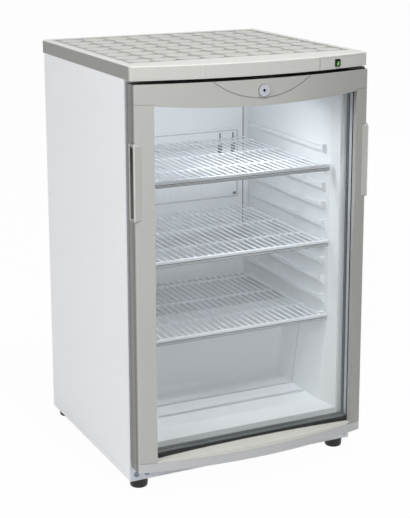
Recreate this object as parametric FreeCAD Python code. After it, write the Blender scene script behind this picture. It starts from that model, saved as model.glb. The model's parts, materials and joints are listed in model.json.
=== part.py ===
import FreeCAD, Part
import math
import os

# Glass door display fridge: a low bottle cooler with a white steel cabinet, a grey moulded worktop
# and one framed glass door with a bowed front, hinged on the right.
# Millimetres. +Z is up, the door faces -Y and +X is to the right as seen from the front.
# Pieces are drawn with y = 0 on the cabinet's front plane, and are moved as they are written, so that
# the part's origin is the bottom centre of its whole box.

V = FreeCAD.Vector
os.makedirs("parts", exist_ok=True)

# Cabinet shell
total_h = 855.0
cabinet_w = 507.0
cabinet_d = 453.0
underside_z = 20.0
sheet_t = 1.0
base_t = 2.0
front_return = 22.0
rear_return = 14.0
seam = 0.3

# Interior of the moulded liner
side_wall_w = 46.5
ceiling_h = 65.0
rear_foam = 36.0
floor_z = 112.0
floor_taper = 23.0
bay_d = 205.0
bay_h = 215.0
hump_cover = 43.0
liner_t = 2.0
corner_r = 14.0
mouth_depth = 24.0
mouth_inset = 36.5
mouth_rise = 10.0
mouth_drop = 17.0
flange_h = 14.0
floor_groove_y = 130.0
groove_w = 2.0
groove_depth = 0.8

# Shelf ribs on the side walls
shelf_drop = 176.6
rib_pitch = 40.0
ribs_above = 1
rib_reach = 10.0
rib_edge = 6.0
rib_drop = 17.0
rib_front_y = 38.0
rib_break_y = 195.0
rib_rear_gap = 11.0
rib_setback = 2.5
rib_gap = 4.0
nose_len = 14.0
nose_h = 5.0

# Wire shelves
shelf_count = 3
shelf_hump_clear = 8.0
shelf_side_clear = 4.0
shelf_front_y = 18.0
shelf_rear_gap = 7.0
shelf_strip_h = 13.0
shelf_strip_t = 2.0
shelf_lip = 5.0
wire_d = 3.0
wire_pitch = 15.0
wire_side_clear = 7.0
cross_d = 5.0
cross_first = 93.0
cross_pitch = 121.0
weld = 0.5
rest_gap = 0.3

# Panel over the evaporator on the rear wall
panel_side_gap = 16.0
panel_top_gap = 6.0
panel_h = 379.0
panel_standoff = 32.0
panel_t = 2.0
ridge_inset = 11.0
ridge_drop = 145.0
ridge_span = 160.0
ridge_w = 4.0
ridge_h = 2.0
slot_w = 4.0
slot_h = 18.0
slot_insets = (46.0, 13.0)
slot_margin = 4.0
vent_w = 12.0
vent_h = 24.0
vent_gap = 7.0
flute_w = 3.0
flute_pitch = 9.0
flute_h = 24.0
flute_rise = 9.0
flute_half_w = 86.0
disc_boss_x = 103.0
disc_boss_r = 10.0
boss_r = 6.0
panel_screw_inset = 20.5
panel_screw_rise = 10.0
panel_screw_drop = 20.0
panel_screw_r = 4.0

# Evaporator, drip trough and drain
evap_inset = 30.0
evap_rise = 23.0
evap_drop = 24.0
evap_t = 1.6
evap_gap = 16.0
evap_tube_r = 3.5
evap_run_pitch = 44.0
evap_margin = 26.0
evap_stud_r = 4.0
trough_over = 9.0
trough_h = 14.0
trough_t = 2.0
drain_r = 6.0
drain_bore_r = 4.5
drain_offset = 18.0
drain_gap = 3.7
hole_clear = 0.3

# Lamp, thermostat knob
lamp_w = 300.0
lamp_front_y = 36.0
lamp_d = 74.0
lamp_h = 22.0
lamp_wall = 2.0
lamp_corner_r = 7.0
diffuser_inset = 40.0
diffuser_d = 46.0
diffuser_drop = 4.0
knob_inset = 24.0
knob_r = 14.0
knob_h = 14.0
knob_stem_r = 3.0
knob_stem = 12.0
knob_grip_w = 7.0
run_clear = 0.06
knob_gap = 0.4

# Worktop
worktop_h = 27.4
plate_t = 4.0
worktop_wall = 2.5
worktop_clear = 0.5
worktop_reach = 33.0
worktop_bow = 37.0
worktop_edge_r = 2.5
worktop_corner_r = 6.0
field_side = 17.0
field_front_y = 8.0
field_rear = 20.0
field_depth = 1.8
disc_pitch = 52.2
disc_d = 48.5
disc_drop = 0.5
fascia_seam_inset = 132.1
fascia_seam_w = 0.8
fascia_seam_depth = 0.6
control_w = 122.5
cover_t = 2.0
cover_setback = 4.0

# Lamp switch in the control panel
switch_inset = 77.5
switch_w = 13.8
switch_h = 14.8
switch_proud = 1.3
switch_body_d = 20.0
switch_wall = 1.0
switch_corner_r = 2.2
switch_seat = 0.8
rocker_clear = 0.35
rocker_h = 10.2
rocker_heel = 5.0
rocker_pivot = 3.5
rocker_proud = 2.6
rocker_dish = 0.8
rocker_tilt = 9.0
rocker_pin_r = 1.2
rocker_pin_len = 0.8

# Door frame
door_gap = 7.5
frame_front = 5.0
door_bow = 33.0
door_edge_r = 6.0
door_top_gap = 6.1
door_bottom = 55.0
left_stile_w = 36.5
right_stile_w = 29.0
top_rail_h = 37.5
bottom_rail_h = 19.0
arch_end_drop = 3.5
arch_mid_drop = 13.0
sill_end_rise = 3.0
sill_mid_rise = 8.0
smile_half_w = 104.0
smile_drop = 35.5
smile_groove_w = 1.6
smile_groove_depth = 1.4

# Glazing
inner_frame_t = 10.5
pane_t = 4.0
pane_space = 12.0
glass_bite = 8.0
glass_bite_z = 4.0
spacer_bottom_h = 17.0
rebate_clear = 0.4
inner_frame_lap = 1.5
gasket_w = 18.0
gasket_inset = 14.5
gasket_top_inset = 15.5
gasket_bottom_inset = 11.0
gasket_kiss = 0.3

# Handle grips
grip_drop = 185.5
grip_h = 150.0
grip_lead = 3.0
grip_w = 25.0
grip_proud = 2.5
grip_depth = 15.5
grip_wall = 2.0
grip_lip = 6.0
grip_r = 5.0
grip_clear = 0.2

# Lock
lock_drop = 21.5
rosette_d = 23.0
rosette_t = 3.2
rosette_sink = 0.6
rosette_edge_r = 1.2
sleeve_r = 9.0
sleeve_len = 22.0
barrel_r = 5.5
barrel_sink = 0.6
keyway_w = 3.0
keyway_h = 5.6
keyway_depth = 9.0
pocket_side = 8.0
pocket_drop = 29.7
pocket_roof = 4.0
pocket_d = 24.4
cam_gap = 3.0
cam_t = 2.5
cam_w = 14.0
cam_len = 34.0
cam_corner_r = 3.5
cam_clear = 1.0
keeper_t = 1.5
keeper_border = 8.0

# Hinges
hinge_inset = 13.5
hinge_offset = 24.0
hinge_plate_t = 2.5
hinge_reach = 14.0
hinge_w = 44.0
hinge_side_gap = 1.5
upper_leg_h = 21.0
lower_leg_h = 27.0
pin_r = 4.0
pin_len = 18.0
lower_pin_len = 12.5
bush_wall = 2.5
bush_flange_r = 9.0
bush_flange_t = 0.7
lower_flange_t = 1.5
bush_gap = 0.2
screw_inset = 12.5
screw_spacing = 22.5
lower_screw_drop = 17.8
upper_screw_rise = 13.1
screw_r = 2.2
screw_len = 12.0
screw_head_r = 5.6
screw_head_t = 2.2
screw_clear = 0.1

# Levelling feet
foot_inset_x = 26.0
foot_inset_y = 20.0
foot_r = 19.0
foot_taper = 1.5
foot_edge_r = 3.5
foot_gap = 0.2
stud_r = 4.0
stud_len = 26.0
nut_r = 9.0
nut_h = 8.0

# Compressor bay and refrigerant circuit
comp_x = 40.0
comp_rear = 101.0
comp_r = 75.0
comp_h = 150.0
comp_edge_r = 30.0
comp_plate_w = 190.0
comp_plate_d = 120.0
comp_plate_t = 4.0
grommet_r = 11.0
grommet_h = 14.0
grommet_inset = 16.0
terminal_w = 34.0
terminal_d = 60.0
terminal_h = 70.0
terminal_gap = 0.3
terminal_r = 4.25
tray_w = 76.0
tray_d = 150.0
tray_h = 20.0
tray_t = 2.0
tray_gap = 0.3
tray_pipe_gap = 10.0
tray_rear = 10.0
pipe_r = 3.0
pipe_bend_r = 12.0
pipe_rise = 34.0
stub_offset = 25.0
stub_spread = 26.0
suction_r = 4.0
cond_gap = 10.0
cond_tube_r = 2.5
cond_wire_r = 0.8
cond_wire_pitch = 12.5
cond_wire_touch = 0.05
cond_inset = 53.5
cond_rise = 35.0
cond_drop = 40.0
cond_pitch = 44.5
cond_leg = 22.0
bracket_w = 22.0
bracket_h = 34.0
bracket_r = 4.0
drier_r = 8.0
drier_len = 80.0
capillary_r = 1.4
capillary_bend_r = 8.0
capillary_drop = 20.0
gland_inset = 83.5
gland_r = 8.0
gland_flange_r = 12.0
gland_flange_t = 2.5
gland_bore_r = 4.0
gland_len = 14.0
rear_lip_h = 44.0

# Allowances of the drawing: how far a cut runs past a face, and how near counts as the same place
beyond = 20.0
touch = 0.001

# Places worked out from the sizes above
half_w = cabinet_w / 2
worktop_bottom = total_h - worktop_h
plate_under = total_h - plate_t
shell_top = plate_under - sheet_t
base_top = underside_z + base_t
back_y = cabinet_d - 2 * sheet_t
interior_w = cabinet_w - 2 * side_wall_w
interior_top = total_h - ceiling_h
rear_wall_y = back_y - rear_foam
floor_w = interior_w - 2 * floor_taper
bay_y = cabinet_d - bay_d
bay_top = base_top + bay_h
hump_y = bay_y - hump_cover - liner_t
hump_top = bay_top + hump_cover + liner_t
mouth_half = half_w - mouth_inset
mouth_top = interior_top + mouth_rise
mouth_bottom = floor_z - mouth_drop
flange_half = half_w - front_return - seam
flange_top = mouth_top + flange_h
flange_bottom = mouth_bottom - flange_h
panel_w = interior_w - 2 * panel_side_gap
panel_top = interior_top - panel_top_gap
panel_bottom = panel_top - panel_h
panel_y = rear_wall_y - panel_standoff
ridge_half_w = panel_w / 2 - ridge_inset
ridge_top = panel_top - ridge_drop
ridge_bottom = ridge_top - ridge_span
panel_screw_x = panel_w / 2 - panel_screw_inset
panel_screw_z = ridge_bottom + panel_screw_rise
flute_z = ridge_bottom + flute_rise
evap_w = panel_w - 2 * evap_inset
evap_bottom = panel_bottom + evap_rise
evap_top = panel_top - evap_drop
evap_y = rear_wall_y - evap_gap
trough_w = evap_w + 2 * trough_over
drain_y = rear_wall_y + drain_offset
shelf_rib_z = interior_top - shelf_drop
shelf_room = shelf_rib_z - hump_top - shelf_hump_clear
shelf_pitch = rib_pitch * int(shelf_room / (shelf_count - 1) / rib_pitch)
shelf_w = interior_w - 2 * shelf_side_clear
shelf_depth = panel_y - shelf_rear_gap - shelf_front_y
rib_rear_y = panel_y - rib_rear_gap
diffuser_w = lamp_w - 2 * diffuser_inset
fascia_seam_x = -half_w + fascia_seam_inset
control_left_x = half_w - control_w
switch_x = half_w - switch_inset
door_top = worktop_bottom - door_top_gap
top_seam_z = door_top - top_rail_h
bottom_seam_z = door_bottom + bottom_rail_h
arch_end_z = top_seam_z - arch_end_drop
arch_mid_z = top_seam_z - arch_mid_drop
sill_end_z = bottom_seam_z + sill_end_rise
sill_mid_z = bottom_seam_z + sill_mid_rise
smile_mid_z = door_top - smile_drop
opening_left = -half_w + left_stile_w
opening_right = half_w - right_stile_w
glass_left = opening_left - glass_bite
glass_right = opening_right + glass_bite
glass_bottom = bottom_seam_z - glass_bite_z
glass_top = top_seam_z + glass_bite_z
glass_back_y = -door_gap - inner_frame_t
glass_y = glass_back_y - 2 * pane_t - pane_space
door_reach = frame_front - glass_y
door_apex = -(door_reach + door_bow)
grip_z = door_top - grip_drop
lock_z = door_top - lock_drop
pocket_half_w = cam_len + pocket_side
pocket_bottom_z = door_top - pocket_drop
hinge_x = half_w - hinge_inset
hinge_y = -hinge_offset
upper_plate_z = door_top + bush_flange_t + bush_gap
upper_plate_top = upper_plate_z + hinge_plate_t
lower_plate_top = door_bottom - lower_flange_t - bush_gap
lower_plate_z = lower_plate_top - hinge_plate_t
upper_screw_z = upper_plate_top + upper_screw_rise
lower_screw_z = lower_plate_z - lower_screw_drop
screw_outer_x = half_w - screw_inset
screw_inner_x = screw_outer_x - screw_spacing
foot_x = half_w - foot_inset_x
foot_rear_y = cabinet_d - foot_inset_y
comp_y = cabinet_d - comp_rear
comp_plate_z = base_top + grommet_h
comp_bottom = comp_plate_z + comp_plate_t
comp_top = comp_bottom + comp_h
pipe_z = comp_top + pipe_rise
tray_z = comp_top + tray_gap
drain_end_z = tray_z + tray_h + drain_gap
cond_half = half_w - cond_inset
cond_bottom = bay_top + cond_rise
cond_top = shell_top - cond_drop
gland_x = half_w - gland_inset
cond_inner_y = cabinet_d + cond_gap + cond_wire_r
cond_tube_y = cond_inner_y + cond_wire_r + cond_wire_touch + cond_tube_r
cond_outer_y = cond_tube_y + cond_tube_r + cond_wire_touch + cond_wire_r
rosette_front_y = door_apex + rosette_sink - rosette_t
front_reach = -rosette_front_y
rear_reach = max(cond_outer_y + cond_wire_r, cond_tube_y + drier_r)
origin_y = (rear_reach - front_reach) / 2


def box(x0, x1, y0, y1, z0, z1):
    """A block between two corners."""
    return Part.makeBox(x1 - x0, y1 - y0, z1 - z0, V(x0, y0, z0))


def post(x, y, z0, z1, radius):
    """An upright cylinder."""
    return Part.makeCylinder(radius, z1 - z0, V(x, y, z0), V(0, 0, 1))


def bar_y(x, z, y0, y1, radius):
    """A cylinder that runs front to back."""
    return Part.makeCylinder(radius, y1 - y0, V(x, y0, z), V(0, 1, 0))


def bar_x(y, z, x0, x1, radius):
    """A cylinder that runs left to right."""
    return Part.makeCylinder(radius, x1 - x0, V(x0, y, z), V(1, 0, 0))


def prism(points, along):
    """A flat outline pushed along a vector."""
    return Part.Face(Part.makePolygon(points + points[:1])).extrude(along)


def mirrored(shape):
    """The same shape on the other side of the middle plane."""
    return shape.mirror(V(0, 0, 0), V(1, 0, 0))


def joined(first, others):
    """One solid from a shape and the ones that are moulded or welded to it."""
    return first.fuse(others).removeSplitter()


def rounded_box(x0, x1, y0, y1, z0, z1, axis, radius):
    """A block whose four edges along one axis (0, 1 or 2) are rounded."""
    block = box(x0, x1, y0, y1, z0, z1)
    edges = [e for e in block.Edges if abs(e.tangentAt(e.FirstParameter)[axis]) > 0.9]
    return block.makeFillet(radius, edges)


def bow_y(reach, bow, half, x):
    """The y of a bowed front at x: an arc over the whole width, deepest in the middle."""
    radius = (half * half + bow * bow) / (2 * bow)
    return -reach - bow + radius - math.sqrt(radius * radius - x * x)


def bowed_block(half, rear, reach, bow, z0, z1):
    """A block with straight sides and rear and a bowed front."""
    left = V(-half, -reach, z0)
    right = V(half, -reach, z0)
    rear_right = V(half, rear, z0)
    rear_left = V(-half, rear, z0)
    front = Part.Arc(left, V(0, -reach - bow, z0), right).toShape()
    sides = Part.makePolygon([right, rear_right, rear_left, left])
    outline = Part.Wire([front] + sides.Edges)
    return Part.Face(outline).extrude(V(0, 0, z1 - z0))


def arch_block(x0, x1, end_z, mid_z, far_z, y0, y1):
    """The space between an arched edge and a level line, pushed front to back."""
    middle = V((x0 + x1) / 2, y0, mid_z)
    arch = Part.Arc(V(x0, y0, end_z), middle, V(x1, y0, end_z)).toShape()
    sides = Part.makePolygon([V(x1, y0, end_z), V(x1, y0, far_z), V(x0, y0, far_z), V(x0, y0, end_z)])
    return Part.Face(Part.Wire([arch] + sides.Edges)).extrude(V(0, y1 - y0, 0))


def rounded_path(points, bend_r):
    """Straight runs between the points, joined by tangent arcs of one radius."""
    edges = []
    start = points[0]
    for before, corner, after in zip(points, points[1:], points[2:]):
        back = (before - corner).normalize()
        ahead = (after - corner).normalize()
        half_angle = back.getAngle(ahead) / 2
        bisector = (back + ahead).normalize()
        centre = corner + bisector * (bend_r / math.sin(half_angle))
        run = bend_r / math.tan(half_angle)
        arc_start = corner + back * run
        arc_end = corner + ahead * run
        edges.append(Part.makeLine(start, arc_start))
        edges.append(Part.Arc(arc_start, centre - bisector * bend_r, arc_end).toShape())
        start = arc_end
    edges.append(Part.makeLine(start, points[-1]))
    return Part.Wire(edges)


def rod(points, radius, bend_r):
    """A round bar bent along a path."""
    ring = Part.Wire(Part.makeCircle(radius, points[0], points[1] - points[0]))
    return rounded_path(points, bend_r).makePipeShell([ring], True, False)


def centred(span, pitch):
    """Evenly spaced places about zero, as many as fit in a span."""
    count = int(span // pitch) + 1
    return [(i - (count - 1) / 2) * pitch for i in range(count)]


def frame(x0, x1, y0, y1, z0, z1, left, right, bottom, top):
    """A flat four-sided frame, with the width of each side."""
    hole = box(x0 + left, x1 - right, y0, y1, z0 + bottom, z1 - top)
    return box(x0, x1, y0, y1, z0, z1).cut(hole)


nodes = {}

# Interior space, its ribs and the moulded liner


def interior_space(grow):
    """The liner's inside, grown outwards by one wall where asked, open at the front plane."""
    half = interior_w / 2 + grow
    floor_half = floor_w / 2 + grow
    mouth = mouth_half + grow
    bottom = floor_z - grow
    top = interior_top + grow
    upper = box(-half, half, mouth_depth, rear_wall_y + grow, hump_top - grow, top)
    rear_edges = [e for e in upper.Edges if abs(e.CenterOfMass.y - rear_wall_y - grow) < touch]
    upright = [e for e in rear_edges if abs(e.tangentAt(e.FirstParameter).z) > 0.9]
    upper = upper.makeFillet(corner_r, upright)
    section = [V(-floor_half, mouth_depth, bottom), V(floor_half, mouth_depth, bottom)]
    section += [V(half, mouth_depth, hump_top), V(-half, mouth_depth, hump_top)]
    lower = prism(section, V(0, hump_y + grow - mouth_depth, 0))
    hump_edges = [e for e in lower.Edges if abs(e.CenterOfMass.y - hump_y - grow) < touch]
    below = [e for e in hump_edges if e.CenterOfMass.z < hump_top - touch]
    lower = lower.makeFillet(corner_r, below)
    inner_ring = section[:3] + [V(half, mouth_depth, top), V(-half, mouth_depth, top), section[3]]
    outer_ring = [V(-mouth, 0, mouth_bottom - grow), V(mouth, 0, mouth_bottom - grow)]
    outer_ring += [V(mouth, 0, hump_top), V(mouth, 0, mouth_top + grow)]
    outer_ring += [V(-mouth, 0, mouth_top + grow), V(-mouth, 0, hump_top)]
    rings = [Part.makePolygon(ring + ring[:1]) for ring in (outer_ring, inner_ring)]
    return joined(upper, [lower, Part.makeLoft(rings, True, True)])


def shelf_rib(top_z):
    """One right-hand shelf rib: a front length with a raised nose and a rear length set back."""
    wall_x = interior_w / 2 + liner_t / 2
    lengths = []
    for y0, y1, reach in (
        (rib_front_y, rib_break_y, rib_reach),
        (rib_break_y + rib_gap, rib_rear_y, rib_reach - rib_setback),
    ):
        tip_x = interior_w / 2 - reach
        section = [V(wall_x, y0, top_z + weld), V(tip_x, y0, top_z), V(tip_x, y0, top_z - rib_edge)]
        section.append(V(wall_x, y0, top_z - rib_drop))
        lengths.append(prism(section, V(0, y1 - y0, 0)))
    nose_x = interior_w / 2 - rib_reach
    flat_end = rib_front_y + nose_len / 2
    nose = [V(nose_x, rib_front_y, top_z - rib_edge / 2), V(nose_x, rib_front_y, top_z + nose_h)]
    nose += [V(nose_x, flat_end, top_z + nose_h), V(nose_x, rib_front_y + nose_len, top_z - rib_edge / 2)]
    return lengths + [prism(nose, V(wall_x - nose_x, 0, 0))]


rib_tops = []
rib_z = shelf_rib_z + ribs_above * rib_pitch
while rib_z - rib_edge > hump_top:
    rib_tops.append(rib_z)
    rib_z -= rib_pitch
right_ribs = [piece for z in rib_tops for piece in shelf_rib(z)]
all_ribs = right_ribs + [mirrored(piece) for piece in right_ribs]
inside = interior_space(0)
groove_y = (floor_groove_y, floor_groove_y + groove_w)
air = inside.cut(all_ribs)
flange = box(-flange_half, flange_half, 0, liner_t, flange_bottom, flange_top)
liner_body = joined(flange, [interior_space(liner_t)])
floor_groove = box(-floor_w / 2, floor_w / 2, *groove_y, floor_z - groove_depth, floor_z)

drain_z = panel_bottom + trough_h / 2
drain_start = V(0, rear_wall_y, drain_z)
drain_route = [drain_start, V(0, drain_y, drain_z), V(0, drain_y, drain_end_z)]
drain_bend = drain_y - rear_wall_y - liner_t
drain_hole = rod([V(0, panel_y, drain_z)] + drain_route[1:], drain_r + hole_clear, drain_bend)
nodes["inner_liner"] = liner_body.cut([air, floor_groove, drain_hole])
drain_bore = rod(drain_route, drain_bore_r, drain_bend)
nodes["drain_tube"] = rod(drain_route, drain_r, drain_bend).cut(drain_bore)

# Hinge screws and the holes that they pass


def hinge_screw(x, z, seat_y):
    """A pan head screw driven in from the front."""
    head = bar_y(x, z, seat_y - screw_head_t, seat_y, screw_head_r)
    rim = [e for e in head.Edges if abs(e.CenterOfMass.y - seat_y + screw_head_t) < touch]
    head = head.makeFillet(screw_head_t / 2, rim[:1])
    return joined(head, [bar_y(x, z, seat_y, seat_y + screw_len, screw_r)])


leg_front_y = -hinge_plate_t
screw_spots = []
for screw_x in (screw_inner_x, screw_outer_x):
    screw_spots.append((screw_x, upper_screw_z, leg_front_y))
    screw_spots.append((screw_x, lower_screw_z, leg_front_y))
    screw_spots.append((-screw_x, lower_screw_z, 0.0))
nodes["hinge_screws"] = Part.Compound([hinge_screw(*spot) for spot in screw_spots])
screw_holes = [bar_y(x, z, leg_front_y, screw_len + seam, screw_r + screw_clear) for x, z, y in screw_spots]

# Steel cabinet shell

side_wall = box(half_w - sheet_t, half_w, 0, cabinet_d, underside_z, shell_top)
side_front = box(half_w - front_return, half_w, 0, sheet_t, underside_z, shell_top)
side_rear = box(half_w - rear_return, half_w, cabinet_d - sheet_t, cabinet_d, underside_z, shell_top)
right_side = joined(side_wall, [side_front, side_rear])
nodes["right_side_panel"] = right_side.cut(screw_holes)
nodes["left_side_panel"] = mirrored(right_side).cut(screw_holes)

plinth = box(-flange_half, flange_half, 0, sheet_t, underside_z, flange_bottom - seam)
nodes["front_plinth"] = plinth.cut(screw_holes)
top_sheet = box(-half_w, half_w, 0, cabinet_d, shell_top, plate_under)
top_fold = box(-flange_half, flange_half, 0, sheet_t, flange_top + seam, shell_top)
nodes["top_panel"] = joined(top_sheet, [top_fold]).cut(screw_holes)

inner_half = half_w - sheet_t
nodes["back_panel"] = box(-inner_half, inner_half, back_y, back_y + sheet_t, bay_top, shell_top)
bay_wall = box(-inner_half, inner_half, bay_y, bay_y + sheet_t, base_top, bay_top)
bay_roof = box(-inner_half, inner_half, bay_y, back_y, bay_top - sheet_t, bay_top)
nodes["bay_panel"] = joined(bay_wall, [bay_roof]).cut([drain_hole])

foot_spots = {
    "foot_front_left": (-foot_x, foot_inset_y),
    "foot_front_right": (foot_x, foot_inset_y),
    "foot_rear_left": (-foot_x, foot_rear_y),
    "foot_rear_right": (foot_x, foot_rear_y),
}
stud_top = underside_z - foot_gap + stud_len
nuts = [post(x, y, base_top, base_top + nut_h, nut_r) for x, y in foot_spots.values()]
stud_holes = [post(x, y, underside_z, base_top + nut_h, stud_r + run_clear) for x, y in foot_spots.values()]
lip_half = half_w - rear_return - seam
lip_z = base_top + rear_lip_h
base_sheet = box(-inner_half, inner_half, sheet_t, cabinet_d - sheet_t, underside_z, base_top)
rear_lip = box(-lip_half, lip_half, back_y, cabinet_d - sheet_t, base_top, lip_z)
gland_z = base_top + rear_lip_h / 2
gland_hole = bar_y(gland_x, gland_z, back_y - beyond, cabinet_d + beyond, gland_r + hole_clear)
nodes["base_pan"] = joined(base_sheet, nuts + [rear_lip]).cut(stud_holes + [gland_hole])

lip_y = cabinet_d - sheet_t
gland_collar = bar_y(gland_x, gland_z, lip_y, lip_y + gland_flange_t, gland_flange_r)
gland_barrel = bar_y(gland_x, gland_z, lip_y - gland_len, lip_y, gland_r)
gland_bore = bar_y(gland_x, gland_z, back_y - beyond, cabinet_d + beyond, gland_bore_r)
nodes["cord_gland"] = joined(gland_collar, [gland_barrel]).cut(gland_bore)

foam_block = box(-inner_half, inner_half, sheet_t, back_y, base_top, shell_top)
bay_space = box(-inner_half, inner_half, bay_y, back_y, base_top, bay_top)
nut_wells = [post(x, y, base_top, stud_top + seam, nut_r + hole_clear) for x, y in foot_spots.values()]
foam_cuts = [liner_body, bay_space, drain_hole] + nut_wells + screw_holes
nodes["insulation"] = foam_block.cut(foam_cuts)

# Levelling feet: a moulded pad on a threaded stud


def foot(x, y):
    """A tapered pad with a rounded tread and its stud."""
    pad_top = underside_z - foot_gap
    pad = Part.makeCone(foot_r - foot_taper, foot_r, pad_top, V(x, y, 0), V(0, 0, 1))
    tread = [e for e in pad.Edges if abs(e.CenterOfMass.z) < touch]
    pad = pad.makeFillet(foot_edge_r, tread)
    return joined(pad, [post(x, y, pad_top, stud_top, stud_r)])


for foot_name, foot_spot in foot_spots.items():
    nodes[foot_name] = foot(*foot_spot)

# Panel on the rear wall, the evaporator behind it, its drip trough

panel_sheet = box(-panel_w / 2, panel_w / 2, panel_y, panel_y + panel_t, panel_bottom, panel_top)
panel_screw_top = panel_top - panel_screw_drop
panel_screw_spots = [(s * panel_screw_x, z) for s in (-1, 1) for z in (panel_screw_z, panel_screw_top)]
bosses = [bar_y(x, z, panel_y + panel_t, rear_wall_y, boss_r) for x, z in panel_screw_spots]
ridge_y = panel_y - ridge_h
ridge_sides = [ridge_w] * 4
ridge = frame(-ridge_half_w, ridge_half_w, ridge_y, panel_y, ridge_bottom, ridge_top, *ridge_sides)
flutes = []
for flute_x in centred(2 * flute_half_w, flute_pitch):
    flute_sides = (flute_x - flute_w / 2, flute_x + flute_w / 2)
    flutes.append(box(*flute_sides, ridge_y + ridge_h / 2, panel_y, flute_z, flute_z + flute_h))
disc_z = flute_z + flute_h / 2
rings = [bar_y(s * disc_boss_x, disc_z, ridge_y + ridge_h / 2, panel_y, disc_boss_r) for s in (-1, 1)]
wells = [bar_y(s * disc_boss_x, disc_z, ridge_y, panel_y, disc_boss_r - ridge_h) for s in (-1, 1)]
vents = []
for slot_x in [s * (ridge_half_w - inset) for s in (-1, 1) for inset in slot_insets]:
    slot_top = ridge_top - ridge_w - slot_margin
    vent_top = slot_top - slot_h - vent_gap
    slot_sides = (slot_x - slot_w / 2, slot_x + slot_w / 2)
    vent_sides = (slot_x - vent_w / 2, slot_x + vent_w / 2)
    vents.append(box(*slot_sides, panel_y, panel_y + panel_t, slot_top - slot_h, slot_top))
    vents.append(box(*vent_sides, panel_y, panel_y + panel_t, vent_top - vent_h, vent_top))
screw_bores = [bar_y(x, z, panel_y, rear_wall_y, screw_r + screw_clear) for x, z in panel_screw_spots]
panel_body = joined(panel_sheet, bosses + [ridge] + flutes + [ring.cut(wells) for ring in rings])
nodes["rear_air_panel"] = panel_body.cut(vents + screw_bores)
panel_screws = []
for x, z in panel_screw_spots:
    head = bar_y(x, z, panel_y - screw_head_t, panel_y, panel_screw_r)
    panel_screws.append(joined(head, [bar_y(x, z, panel_y, rear_wall_y - seam, screw_r)]))
nodes["panel_screws"] = Part.Compound(panel_screws)

evap_half = evap_w / 2
evap_plate = box(-evap_half, evap_half, evap_y, evap_y + evap_t, evap_bottom, evap_top)
run_half = evap_half - evap_margin
runs = int((evap_top - evap_bottom - 2 * evap_margin) // evap_run_pitch)
channel = []
for i in range(runs + 1):
    run_z = evap_bottom + evap_margin + i * evap_run_pitch
    ends = (-run_half, run_half) if i % 2 == 0 else (run_half, -run_half)
    channel += [V(end, evap_y, run_z) for end in ends]
evap_channel = rod(channel, evap_tube_r, evap_run_pitch / 2 - weld)
stud_x = evap_half - evap_margin / 2
stud_zs = (evap_bottom + evap_margin / 2, evap_top - evap_margin / 2)
evap_stud_spots = [(s * stud_x, z) for s in (-1, 1) for z in stud_zs]
evap_studs = [bar_y(x, z, evap_y + evap_t, rear_wall_y, evap_stud_r) for x, z in evap_stud_spots]
nodes["evaporator_plate"] = joined(evap_plate, [evap_channel] + evap_studs)

trough_y = panel_y + panel_t + seam
trough_block = box(-trough_w / 2, trough_w / 2, trough_y, rear_wall_y, panel_bottom, panel_bottom + trough_h)
trough_well = box(
    -trough_w / 2 + trough_t,
    trough_w / 2 - trough_t,
    trough_y + trough_t,
    rear_wall_y - trough_t,
    panel_bottom + trough_t,
    panel_bottom + trough_h,
)
trough_outlet = bar_y(0, drain_z, rear_wall_y - 2 * trough_t, rear_wall_y, drain_bore_r)
nodes["drip_trough"] = trough_block.cut([trough_well, trough_outlet])

# Lamp housing under the ceiling, its diffuser and the thermostat knob

lamp_bottom = interior_top - lamp_h
lamp_rear_y = lamp_front_y + lamp_d
lamp_mid_y = (lamp_front_y + lamp_rear_y) / 2
lamp_sides = (-lamp_w / 2, lamp_w / 2, lamp_front_y, lamp_rear_y)
lamp_block = rounded_box(*lamp_sides, lamp_bottom, interior_top, 2, lamp_corner_r)
lamp_well = box(
    -diffuser_w / 2,
    diffuser_w / 2,
    lamp_mid_y - diffuser_d / 2,
    lamp_mid_y + diffuser_d / 2,
    lamp_bottom,
    interior_top - lamp_wall,
)
knob_x = lamp_w / 2 - knob_inset
knob_top = lamp_bottom - knob_gap
stem_top = knob_top + knob_stem
stem_hole = post(knob_x, lamp_mid_y, lamp_bottom, stem_top + seam, knob_stem_r + run_clear)
nodes["lamp_housing"] = lamp_block.cut([lamp_well, stem_hole])
nodes["lamp_diffuser"] = rounded_box(
    -diffuser_w / 2 + seam,
    diffuser_w / 2 - seam,
    lamp_mid_y - diffuser_d / 2 + seam,
    lamp_mid_y + diffuser_d / 2 - seam,
    lamp_bottom - diffuser_drop,
    interior_top - lamp_wall - seam,
    0,
    diffuser_drop / 2,
)
knob_disc = post(knob_x, lamp_mid_y, knob_top - knob_h / 2, knob_top, knob_r)
knob_grip = box(
    knob_x - knob_r,
    knob_x + knob_r,
    lamp_mid_y - knob_grip_w / 2,
    lamp_mid_y + knob_grip_w / 2,
    knob_top - knob_h,
    knob_top - knob_h / 2,
)
knob_grip = knob_grip.common(post(knob_x, lamp_mid_y, knob_top - knob_h, knob_top, knob_r))
knob_stem_post = post(knob_x, lamp_mid_y, knob_top, stem_top, knob_stem_r)
nodes["thermostat_knob"] = joined(knob_disc, [knob_grip, knob_stem_post])

# Wire shelves: front-to-back wires welded on cross wires, with a folded strip along the front


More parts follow.
